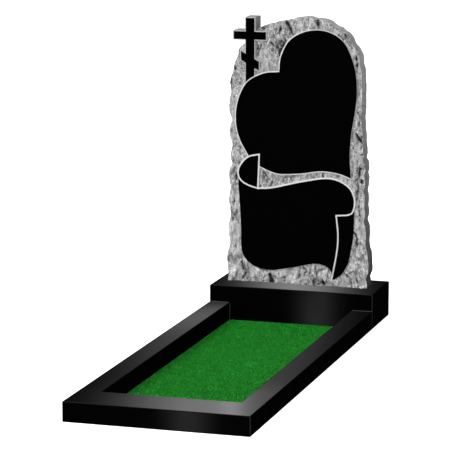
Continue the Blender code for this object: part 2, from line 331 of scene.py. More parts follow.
@dataclass(frozen=True)
class SplitGabbro:
    """The same gabbro split or struck with a chisel: dry and grey, with painted shade where the break is
    deep.
    """

    name: str = "split_gabbro"
    light: str = "b6b6b6"
    middle: str = "7c7c7c"
    # The colour of the painted shade in pits and cracks, and of the dark bruises.
    dark: str = "121212"
    calm_size: float = 50 * MM
    patch_size: float = 15 * MM
    streak_size: float = 5.5 * MM
    crystal_size: float = 3.4 * MM
    drawn_out: float = 0.4
    bump_height: float = 1.1 * MM
    roughness: float = 0.82
    rough_swing: float = 0.16
    # Painted light at the stone's foot where this is above 1, painted shade there where it is below 1.
    foot_painted_shading: float = 1.28
    fresh_shade: float = 1.6

    def material(self) -> bpy.types.Material:
        """Make upright patches, streaks and crystals, darkened by the painted shade and tone in the mesh's
        "painted_shade_and_tone" value.

        Streaks and crystals show fully where the stone broke rough, and a third as much where it
        broke calm.

        Returns:
            The material.
        """
        material, tree = start_material(self.name)
        where = add_node(tree, "ShaderNodeTexCoord").outputs["Object"]
        upright = add_node(tree, "ShaderNodeMapping", {
            "Vector": where, "Scale": (1.0, 1.0, self.drawn_out)}).outputs[0]
        rough = self.broken(tree, upright)
        patches = add_node(tree, "ShaderNodeTexNoise", {
            "Vector": upright, "Scale": 1 / self.patch_size, "Detail": 4.0, "Roughness": 0.65,
            "Distortion": 0.2}).outputs["Fac"]
        streaks = add_node(tree, "ShaderNodeTexNoise", {
            "Vector": upright, "Scale": 1 / self.streak_size, "Detail": 3.0, "Roughness": 0.65,
            "Distortion": 0.2}).outputs["Fac"]
        cells = add_node(tree, "ShaderNodeTexVoronoi", {"Vector": where, "Scale": 1 / self.crystal_size})
        crystals = add_node(tree, "ShaderNodeSeparateColor", {0: cells.outputs["Color"]}).outputs["Red"]
        patch = add_node(tree, "ShaderNodeMapRange", {"Value": patches, "From Min": 0.34, "From Max": 0.64})
        colour = add_node(tree, "ShaderNodeMix", {
            0: patch.outputs["Result"], 6: linear(self.middle), 7: linear(self.light)},
            data_type="RGBA").outputs[2]
        for pattern, low, high, darkest, lightest in (
                (streaks, 0.32, 0.62, 0.40, 1.14), (crystals, 0.0, 1.0, 0.52, 1.40)):
            factor = add_node(tree, "ShaderNodeMapRange", {
                "Value": pattern, "From Min": low, "From Max": high, "To Min": darkest, "To Max": lightest})
            colour = add_node(tree, "ShaderNodeMix", {0: rough, 6: colour, 7: factor.outputs["Result"]},
                              data_type="RGBA", blend_type="MULTIPLY").outputs[2]
        # Painted shade in pits, cracks and sunken chips, and tone in bruises and fresh facets, come from
        # this value.
        value = add_node(tree, "ShaderNodeAttribute", attribute_name="painted_shade_and_tone").outputs["Fac"]
        painted_shade_and_tone = add_node(tree, "ShaderNodeMath", {0: value, 1: 0.0}, operation="MAXIMUM").outputs[0]
        shaded = add_node(tree, "ShaderNodeMix", {
            0: self.speckled(tree, painted_shade_and_tone, crystals), 6: self.paint_foot_and_fresh(tree, where, value, colour),
            7: linear(self.dark)}, data_type="RGBA").outputs[2]
        relief = add_node(tree, "ShaderNodeMath", {
            0: streaks, 1: cells.outputs["Distance"]}, operation="SUBTRACT")
        bump = add_node(tree, "ShaderNodeBump", {
            "Height": relief.outputs[0], "Distance": self.bump_height, "Strength": 1.0})
        shader = add_node(tree, "ShaderNodeBsdfPrincipled", {
            "Base Color": shaded, "Roughness": self.roughness,
            "Specular IOR Level": 0.3, "Normal": bump.outputs[0]})
        add_node(tree, "ShaderNodeOutputMaterial", {"Surface": shader.outputs[0]})
        return material

    def broken(self, tree: bpy.types.NodeTree, upright: Socket) -> Socket:
        """Tell how rough the stone broke, from a noise and the mesh's "rough" value from -1 to 1.

        Args:
            tree: the material's node tree.
            upright: Object coordinates, drawn out upwards.
        Returns:
            A socket that gives 0.35 where it broke calm and 1 where it broke rough.
        """
        breaks = add_node(tree, "ShaderNodeTexNoise", {
            "Vector": upright, "Scale": 1 / self.calm_size, "Detail": 2.0}).outputs["Fac"]
        drawn = add_node(tree, "ShaderNodeAttribute", attribute_name="rough").outputs["Fac"]
        swing = add_node(tree, "ShaderNodeMath", {0: drawn, 1: self.rough_swing},
                         operation="MULTIPLY").outputs[0]
        both = add_node(tree, "ShaderNodeMath", {0: breaks, 1: swing}, operation="ADD").outputs[0]
        return add_node(tree, "ShaderNodeMapRange", {
            "Value": both, "From Min": 0.42, "From Max": 0.58, "To Min": 0.35, "To Max": 1.0},
            interpolation_type="SMOOTHSTEP").outputs["Result"]

    def paint_foot_and_fresh(self, tree: bpy.types.NodeTree, where: Socket, value: Socket, colour: Socket) -> Socket:
        """Paint light or shade towards the stone's foot, and pale newly broken facets.

        The foot's painted shading multiplies the colour at the foot: above 1 it is painted light, below 1
        painted shade.
        The fresh shade does so where the painted_shade_and_tone value is -1.

        Args:
            tree: the material's node tree.
            where: Object coordinates.
            value: the mesh's painted_shade_and_tone value.
            colour: the stone's colour.
        Returns:
            The shaded colour.
        """
        # Painted light or shade at the foot, fading out towards the top.
        height = add_node(tree, "ShaderNodeSeparateXYZ", {0: where}).outputs["Z"]
        foot_shading_factor = add_node(tree, "ShaderNodeMapRange", {
            "Value": height, "From Min": 0.15, "From Max": 1.05, "To Min": self.foot_painted_shading, "To Max": 1.0})
        foot_shaded_colour = add_node(tree, "ShaderNodeMix", {0: 1.0, 6: colour, 7: foot_shading_factor.outputs["Result"]},
                         data_type="RGBA", blend_type="MULTIPLY").outputs[2]
        paler = add_node(tree, "ShaderNodeMapRange", {
            "Value": value, "From Min": -1.0, "From Max": 0.0, "To Min": self.fresh_shade, "To Max": 1.0})
        return add_node(tree, "ShaderNodeMix", {0: 1.0, 6: foot_shaded_colour, 7: paler.outputs["Result"]},
                        data_type="RGBA", blend_type="MULTIPLY").outputs[2]

    def speckled(self, tree: bpy.types.NodeTree, painted_shade_and_tone: Socket, crystals: Socket) -> Socket:
        """Break the half dark places up by crystal.

        The result is s + 4 * s * (1 - s) * (crystal - 0.5), where s is the painted shade and tone.

        Args:
            tree: the material's node tree.
            painted_shade_and_tone: the painted shade and dark tone, from 0 to 1.
            crystals: a value from 0 to 1 for each crystal.
        Returns:
            The painted shade and tone with its speckle, from 0 to 1.
        """
        solid = add_node(tree, "ShaderNodeMath", {0: 1.0, 1: painted_shade_and_tone}, operation="SUBTRACT").outputs[0]
        half = add_node(tree, "ShaderNodeMath", {0: painted_shade_and_tone, 1: solid}, operation="MULTIPLY").outputs[0]
        swing = add_node(tree, "ShaderNodeMapRange", {
            "Value": crystals, "To Min": -2.0, "To Max": 2.0}).outputs["Result"]
        change = add_node(tree, "ShaderNodeMath", {0: half, 1: swing}, operation="MULTIPLY").outputs[0]
        return add_node(tree, "ShaderNodeMath", {0: painted_shade_and_tone, 1: change}, operation="ADD",
                        use_clamp=True).outputs[0]


@dataclass(frozen=True)
class GroundGabbro:
    """Gabbro ground flat but not polished: an even grey, with the saw's faint level lines."""

    name: str = "ground_gabbro"
    light: str = "9b9b9b"
    dark: str = "7c7c7c"
    crystal_size: float = 2.2 * MM
    cloud_size: float = 90 * MM
    saw_pitch: float = 9 * MM
    saw_depth: float = 0.12 * MM
    roughness: float = 0.62

    def material(self) -> bpy.types.Material:
        """Make fine crystals and soft clouds, with bump in level waves one saw pitch apart.

        Returns:
            The material.
        """
        material, tree = start_material(self.name)
        where = add_node(tree, "ShaderNodeTexCoord").outputs["Object"]
        crystals = add_node(tree, "ShaderNodeTexNoise", {
            "Vector": where, "Scale": 1 / self.crystal_size, "Detail": 3.0, "Roughness": 0.65})
        amount = add_node(tree, "ShaderNodeMapRange", {
            "Value": crystals.outputs["Fac"], "From Min": 0.35, "From Max": 0.65})
        colour = add_node(tree, "ShaderNodeMix", {
            0: amount.outputs["Result"], 6: linear(self.dark), 7: linear(self.light)}, data_type="RGBA")
        clouds = add_node(tree, "ShaderNodeTexNoise", {
            "Vector": where, "Scale": 1 / self.cloud_size, "Detail": 4.0, "Roughness": 0.6})
        drift = add_node(tree, "ShaderNodeMapRange", {
            "Value": clouds.outputs["Fac"], "From Min": 0.3, "From Max": 0.7, "To Min": 0.8, "To Max": 1.14})
        clouded = add_node(tree, "ShaderNodeMix", {0: 1.0, 6: colour.outputs[2], 7: drift.outputs["Result"]},
                           data_type="RGBA", blend_type="MULTIPLY")
        lines = add_node(tree, "ShaderNodeTexWave", {
            "Vector": where, "Scale": math.tau / 20 / self.saw_pitch, "Distortion": 0.6, "Detail": 1.0},
            wave_type="BANDS", bands_direction="Z")
        bump = add_node(tree, "ShaderNodeBump", {
            "Height": lines.outputs["Fac"], "Distance": self.saw_depth, "Strength": 1.0})
        shader = add_node(tree, "ShaderNodeBsdfPrincipled", {
            "Base Color": clouded.outputs[2], "Roughness": self.roughness,
            "Specular IOR Level": 0.35, "Normal": bump.outputs[0]})
        add_node(tree, "ShaderNodeOutputMaterial", {"Surface": shader.outputs[0]})
        return material


@dataclass(frozen=True)
class EtchedLine:
    """Gabbro whose polish has been cut away in a narrow band: it turns nearly white and reads as a line."""

    name: str = "etched_line"
    light: str = "d2d2d2"
    dark: str = "b4b4b4"
    faint: float = 0.66
    crystal_size: float = 2.0 * MM
    roughness: float = 0.7

    def material(self) -> bpy.types.Material:
        """Make a pale grey with a fine dry grain, dimmed where the "painted_shade_and_tone" value is 1.

        Returns:
            The material.
        """
        material, tree = start_material(self.name)
        where = add_node(tree, "ShaderNodeTexCoord").outputs["Object"]
        grain = add_node(tree, "ShaderNodeTexNoise", {
            "Vector": where, "Scale": 1 / self.crystal_size, "Detail": 3.0, "Roughness": 0.7})
        amount = add_node(tree, "ShaderNodeMapRange", {
            "Value": grain.outputs["Fac"], "From Min": 0.3, "From Max": 0.6})
        colour = add_node(tree, "ShaderNodeMix", {
            0: amount.outputs["Result"], 6: linear(self.dark), 7: linear(self.light)}, data_type="RGBA")
        dim = add_node(tree, "ShaderNodeMapRange", {
            "Value": add_node(tree, "ShaderNodeAttribute", attribute_name="painted_shade_and_tone").outputs["Fac"],
            "To Min": 1.0, "To Max": self.faint})
        dimmed = add_node(tree, "ShaderNodeMix", {0: 1.0, 6: colour.outputs[2], 7: dim.outputs["Result"]},
                          data_type="RGBA", blend_type="MULTIPLY")
        bump = add_node(tree, "ShaderNodeBump", {
            "Height": grain.outputs["Fac"], "Distance": 0.2 * MM, "Strength": 1.0})
        shader = add_node(tree, "ShaderNodeBsdfPrincipled", {
            "Base Color": dimmed.outputs[2], "Roughness": self.roughness,
            "Specular IOR Level": 0.3, "Normal": bump.outputs[0]})
        add_node(tree, "ShaderNodeOutputMaterial", {"Surface": shader.outputs[0]})
        return material


@dataclass(frozen=True)
class Turf:
    """Short dense turf: matte green blades, with painted shade towards the root and a painted highlight that
    yellows some tips.
    """

    name: str = "turf_blades"
    # The root colour is painted shade deep in the turf; the tip colour is a painted highlight.
    root: str = "07460e"
    blade: str = "119c1e"
    tip: str = "40b944"
    patch_size: float = 35 * MM
    roughness: float = 0.75

    def material(self) -> bpy.types.Material:
        """Make a matte green that follows the mesh's "height" and "tip_highlight_share" values, for the
        painted shade and highlight.

        Returns:
            The material.
        """
        material, tree = start_material(self.name)
        where = add_node(tree, "ShaderNodeTexCoord").outputs["Object"]
        patches = add_node(tree, "ShaderNodeTexNoise", {
            "Vector": where, "Scale": 1 / self.patch_size, "Detail": 3.0, "Roughness": 0.6})
        height = add_node(tree, "ShaderNodeAttribute", attribute_name="height").outputs["Fac"]
        tip_highlight_share = add_node(tree, "ShaderNodeAttribute", attribute_name="tip_highlight_share").outputs["Fac"]
        green = add_node(tree, "ShaderNodeMix", {
            0: height, 6: linear(self.root), 7: linear(self.blade)}, data_type="RGBA")
        highlighted = add_node(tree, "ShaderNodeMath", {0: tip_highlight_share, 1: height}, operation="MULTIPLY")
        lit = add_node(tree, "ShaderNodeMix", {
            0: highlighted.outputs[0], 6: green.outputs[2], 7: linear(self.tip)}, data_type="RGBA")
        patch = add_node(tree, "ShaderNodeMapRange", {
            "Value": patches.outputs["Fac"], "From Min": 0.3, "From Max": 0.7,
            "To Min": 0.88, "To Max": 1.06})
        colour = add_node(tree, "ShaderNodeMix", {
            0: 1.0, 6: lit.outputs[2], 7: patch.outputs["Result"]},
            data_type="RGBA", blend_type="MULTIPLY")
        shader = add_node(tree, "ShaderNodeBsdfPrincipled", {
            "Base Color": colour.outputs[2], "Roughness": self.roughness, "Specular IOR Level": 0.1})
        add_node(tree, "ShaderNodeOutputMaterial", {"Surface": shader.outputs[0]})
        return material


def joined(*stretches: Floats) -> Floats:
    """Join curves end to end into one closed loop."""
    return np.vstack([stretch[:-1] for stretch in stretches])


def signed_area(loop: Floats) -> float:
    """Return a loop's area, above 0 where it runs anticlockwise: half the sum of x0 y1 - x1 y0."""
    after = np.roll(loop, -1, axis=0)
    return float(np.sum(loop[:, 0] * after[:, 1] - after[:, 0] * loop[:, 1]) / 2)


def anticlockwise(loop: Floats) -> Floats:
    """Return a loop turned so that its inside is on the left."""
    return loop if signed_area(loop) > 0 else loop[::-1]


def shifted(path: Floats, distance: float | Floats, closed: bool) -> Floats:
    """Shift a path to its right, with mitred corners.

    Each point moves along the mean of its two sides' normals. Points that end up nearer to the path
    than the distance have folded back and are left out.

    Args:
        path: points in metres.
        distance: how far, to the right of the way it runs, for all points or as a column.
        closed: whether its end joins its start.
    Returns:
        The shifted points.
    """
    if closed:
        before, after = np.roll(path, 1, axis=0), np.roll(path, -1, axis=0)
    else:
        before = np.vstack([path[:1], path[:-1]])
        after = np.vstack([path[1:], path[-1:]])
    arriving, leaving = path - before, after - path
    if not closed:
        arriving[0], leaving[-1] = leaving[0], arriving[-1]
    arriving /= np.linalg.norm(arriving, axis=1, keepdims=True)
    leaving /= np.linalg.norm(leaving, axis=1, keepdims=True)
    normal = np.stack([arriving[:, 1] + leaving[:, 1], -arriving[:, 0] - leaving[:, 0]], axis=1)
    mitre = np.maximum(np.sum(normal**2, axis=1, keepdims=True) / 2, MITRE_LIMIT)
    moved = path + distance * normal / mitre
    return moved[distance_to(moved, path, after) > np.ravel(np.abs(distance)) * FOLD_SHARE]


def distance_to(points: Floats, start: Floats, end: Floats) -> Floats:
    """Return each point's distance from the nearest of some straight sides.

    Args:
        points: where to measure from.
        start: one end of each side.
        end: its other end.
    Returns:
        One distance for each point.
    """
    run = end - start
    length = np.maximum(np.sum(run**2, axis=1), SMALLEST)
    offset = points[:, None] - start[None]
    along = np.clip(np.sum(offset * run[None], axis=2) / length, 0, 1)
    return np.linalg.norm(offset - along[..., None] * run[None], axis=2).min(axis=1)


def band(path: Floats, width: float) -> Floats:
    """Return the closed outline of a line of even width along an open path."""
    return np.vstack([shifted(path, width / 2, False), shifted(path, -width / 2, False)[::-1]])


def inside(points: Floats, loop: Floats) -> Flags:
    """Tell which points lie inside a closed loop, by counting the sides that lie to their right.

    Args:
        points: the points.
        loop: the loop's corners.
    Returns:
        True for each point inside.
    """
    start, end = loop[None], np.roll(loop, -1, axis=0)[None]
    x, y = points[:, :1], points[:, 1:]
    spans = (start[..., 1] > y) != (end[..., 1] > y)
    rise = np.where(spans, end[..., 1] - start[..., 1], 1.0)
    crossing = start[..., 0] + (y - start[..., 1]) / rise * (end[..., 0] - start[..., 0])
    return (spans & (x < crossing)).sum(axis=1) % 2 == 1


def triangular_grid(low: Floats, high: Floats, step: float) -> Floats:
    """Fill a box with points, in rows that are shifted by half a step in turn.

    Args:
        low: the box's lower corner.
        high: its upper corner.
        step: the points' spacing.
    Returns:
        The points, one a row.
    """
    rows = np.arange(low[1], high[1], step * math.sqrt(3) / 2)
    columns = np.arange(low[0], high[0], step)
    x = columns[None] + (np.arange(len(rows)) % 2)[:, None] * step / 2
    return np.stack([x.ravel(), np.repeat(rows, len(columns))], axis=1)


class Made(IntEnum):
    """What a part of the slab's face is, from the deepest to the proudest."""

    GROUND = 0
    LINE = 1
    POLISH = 2


class Slot(IntEnum):
    """The slab's material slots."""

    SPLIT = 0
    LINE = 1
    POLISH = 2
    STRUCK = 3
    GROUND_FLAT = 4


@dataclass(frozen=True)
class CarvingLines:
    """The outlines on the slab's face, drawn in millimetres from the middle of its foot."""

    step: float = 2.2 * MM
    line_width: float = 3.9 * MM
    thin_line_width: float = 0.6 * MM
    cross_line_width: float = 3.2 * MM
    scroll_line_width: float = 5.5 * MM
    slab_edge: Drawn = ((-259, 0), (-264, 84), (-258, 190), (-258, 292), (-257, 394), (-252, 460),
                        (-256, 542), (-257, 636), (-253, 724), (-241, 772), (-237, 790), (-224, 818),
                        (-219, 842), (-196, 864), (-139, 921), (-62, 943), (18, 959), (78, 953),
                        (104, 946), (146, 922), (176, 902), (208, 851), (222, 820), (230, 766),
                        (232, 650), (233, 560), (238, 494), (245, 430), (245, 307), (247, 266),
                        (251, 190), (260, 78), (255, 0))
    edge_bites: tuple[tuple[float, float, float, float], ...] = (
        (-259, 22, 3, 12), (-261, 140, 9, 26), (-258, 250, 8, 24), (-257, 342, 6, 24), (-254, 428, 7, 18),
        (-254, 496, 10, 22), (-256, 586, 9, 24), (-255, 684, 6, 22), (-247, 757, 2, 10),
        (-108, 931, 3, 14), (-36, 949, 2, 12), (52, 957, 3, 14), (128, 934, 4, 14), (158, 914, 3, 12),
        (196, 872, 4, 14), (228, 798, 4, 14), (232, 604, 2, 22), (240, 464, 6, 12), (245, 408, 3, 10),
        (245, 348, 6, 12), (245, 292, 2, 10), (249, 240, 7, 16), (254, 156, 5, 24), (258, 36, 6, 14))
    heart_left: Drawn = ((-70, 764), (-129, 756), (-189, 722), (-222, 657), (-230, 584), (-216, 520),
                         (-183, 460))
    heart_foot: Drawn = ((-183, 460), (-165, 436), (-141, 423), (-75, 400), (8, 404), (86, 416),
                         (150, 410), (195, 395))
    heart_right: Drawn = ((195, 395), (190, 465), (194, 547), (208, 635), (214, 710), (204, 792),
                          (167, 874), (106, 912), (33, 912), (-31, 878), (-63, 820), (-70, 764))
    curl_round: Drawn = ((-143, 466), (-183, 456), (-210, 430), (-222, 401), (-214, 373), (-186, 354),
                         (-148, 343))
    curl_cut: Drawn = ((-148, 343), (-143, 466))
    sheet_left: Drawn = ((-216, 405), (-220, 353), (-214, 272), (-210, 190), (-209, 130), (-199, 93),
                         (-169, 64), (-140, 52))
    sheet_foot: Drawn = ((-140, 52), (-98, 48), (-15, 63), (59, 80), (96, 77), (117, 66), (126, 51),
                         (126, 23))
    strip_right: Drawn = ((126, 23), (162, 46), (186, 88), (198, 141), (206, 194), (208, 286))
    scroll_top: Drawn = ((-148, 343), (-91, 349), (8, 374), (98, 391), (149, 385), (190, 360),
                         (208, 322), (205, 283), (189, 265), (142, 259))
    strip_left: Drawn = ((142, 259), (149, 190), (145, 125), (126, 23))
    post: tuple[float, float, float, float] = (-193.5, -161.5, 715, 952)
    arm: tuple[float, float, float, float] = (-238, -119, 876, 903.5)
    foot_arm: tuple[float, float, float, float] = (-211, -145, 802, 834)
    foot_arm_drop: float = 0.55

    def curve(self, drawn: Drawn) -> Floats:
        """Return a smooth curve through drawn points.

        Between two points it is the cubic whose slopes at its ends are half the way between each
        point's neighbours.

        Args:
            drawn: points in millimetres.
        Returns:
            Points in metres, about one step apart.
        """
        knots = np.array(drawn, dtype=float) * MM
        padded = np.vstack([2 * knots[0] - knots[1], knots, 2 * knots[-1] - knots[-2]])
        pieces = []
        for before, start, end, after in zip(padded, padded[1:], padded[2:], padded[3:]):
            count = max(1, round(float(np.linalg.norm(end - start)) / self.step))
            t = np.arange(count)[:, None] / count
            pieces.append((2 * t**3 - 3 * t**2 + 1) * start + (t**3 - 2 * t**2 + t) * (end - before) / 2
                          + (3 * t**2 - 2 * t**3) * end + (t**3 - t**2) * (after - start) / 2)
        return np.vstack(pieces + [knots[-1:]])

    def straight(self, corners: Floats) -> Floats:
        """Return a closed loop of straight sides, with a point about every step.

        Args:
            corners: the loop's corners, in metres.
        Returns:
            Points along its sides.
        """
        sides = []
        for start, end in zip(corners, np.roll(corners, -1, axis=0)):
            count = max(1, round(float(np.linalg.norm(end - start)) / self.step))
            sides.append(start + (end - start) * np.arange(count)[:, None] / count)
        return np.vstack(sides)

    def slab(self) -> Floats:
        """Return the slab's edge: the drawn curve with every bite struck inwards from it.

        A bite has a place, a depth and a reach, and falls off as exp(-(distance / reach)^2).

        Returns:
            The edge and the straight foot, as one loop.
        """
        edge = self.curve(self.slab_edge)
        run = np.gradient(edge, axis=0)
        inward = np.stack([run[:, 1], -run[:, 0]], axis=1)
        inward /= np.linalg.norm(inward, axis=1, keepdims=True)
        for across, height, depth, reach in self.edge_bites:
            away = edge - np.array((across, height)) * MM
            fall = np.exp(-np.sum(away**2, axis=1) / (reach * MM) ** 2)
            edge = edge + inward * (depth * MM * fall)[:, None]
        edge[[0, -1], 1] = 0.0
        foot = np.linspace(edge[-1], edge[0], round(float(edge[-1, 0] - edge[0, 0]) / self.step))
        return np.vstack([edge[:-1], foot[:-1]])

    def cross(self) -> Floats:
        """Work out the post, its level arm and its sloping foot arm, as one outline.

        Returns:
            The outline's corners, in metres.
        """
        left, right, foot, top = self.post
        arm_left, arm_right, arm_under, arm_top = self.arm
        slope_left, slope_right, under, upper = self.foot_arm

        def slope(x: float, height: float) -> float:
            """Return the foot arm's height at x, where it starts at a height on the left."""
            return height - self.foot_arm_drop * (x - slope_left)

        return np.array((
            (left, top), (left, arm_top), (arm_left, arm_top), (arm_left, arm_under), (left, arm_under),
            (left, slope(left, upper)), (slope_left, upper), (slope_left, under),
            (left, slope(left, under)), (left, foot), (right, foot), (right, slope(right, under)),
            (slope_right, slope(slope_right, under)), (slope_right, slope(slope_right, upper)),
            (right, slope(right, upper)), (right, arm_under), (arm_right, arm_under),
            (arm_right, arm_top), (right, arm_top), (right, top))) * MM

    def heart(self) -> Floats:
        """Return the heart's outline."""
        return joined(*(self.curve(s) for s in (self.heart_left, self.heart_foot, self.heart_right)))

    def heart_line(self, heart: Floats) -> Floats:
        """Return the heart's line width at each of its points.

        It thins out where the edge faces right, and is a little over half as wide on the crown.

        Args:
            heart: the heart's outline, anticlockwise.
        Returns:
            Widths in metres, as a column.
        """
        run = np.roll(heart, -1, axis=0) - np.roll(heart, 1, axis=0)
        facing = run[:, 1] / np.linalg.norm(run, axis=1)
        crown = 0.5 * smoothstep(heart[:, 1], 0.8, 0.9) * smoothstep(facing, -0.6, -0.1)
        thin = np.maximum(smoothstep(facing, 0.35, 0.85), crown)
        return (self.line_width + (self.thin_line_width - self.line_width) * thin)[:, None]

    def faintness(self, places: Floats) -> Floats:
        """Tell which places lie by the cross, whose line is cut fainter.

        They are nearer to the cross than to the heart, and within two line widths of it.

        Args:
            places: points on the face.
        Returns:
            1 by the cross and 0 elsewhere.
        """
        cross, heart = self.cross(), self.heart()
        near = np.zeros(len(places))
        for part in np.array_split(np.arange(len(places)), BATCHES):
            to_cross, to_heart = (distance_to(places[part], loop, np.roll(loop, -1, axis=0))
                                  for loop in (cross, heart))
            near[part] = to_cross < np.minimum(to_heart, 2 * self.cross_line_width)
        return near

    def layers(self) -> list[tuple[Floats, Made]]:
        """Draw the face's closed outlines, lowest first.

        Returns:
            Each outline with what it is made of.
        """
        corners = anticlockwise(self.cross())
        cross = self.straight(corners)
        cross_edge = self.straight(shifted(corners, self.cross_line_width, True))
        heart = anticlockwise(self.heart())
        sheet = anticlockwise(joined(*(self.curve(s) for s in (
            self.sheet_left, self.sheet_foot, self.strip_right, self.scroll_top[-3::-1],
            (self.scroll_top[0], self.sheet_left[0])))))
        curl = anticlockwise(joined(self.curve(self.curl_round), self.curve(self.curl_cut)))
        top_line = np.vstack([self.curve(self.scroll_top), self.curve(self.strip_left)[1:]])
        half = self.scroll_line_width / 2
        return [
            (anticlockwise(self.slab()), Made.GROUND),
            (cross_edge, Made.LINE),
            (cross, Made.POLISH),
            (shifted(heart, self.heart_line(heart), True), Made.LINE),
            (heart, Made.POLISH),
            (sheet, Made.POLISH),
            (anticlockwise(band(top_line, self.scroll_line_width)), Made.LINE),
            (shifted(curl, half, True), Made.LINE),
            (shifted(curl, -half, True), Made.POLISH),
        ]


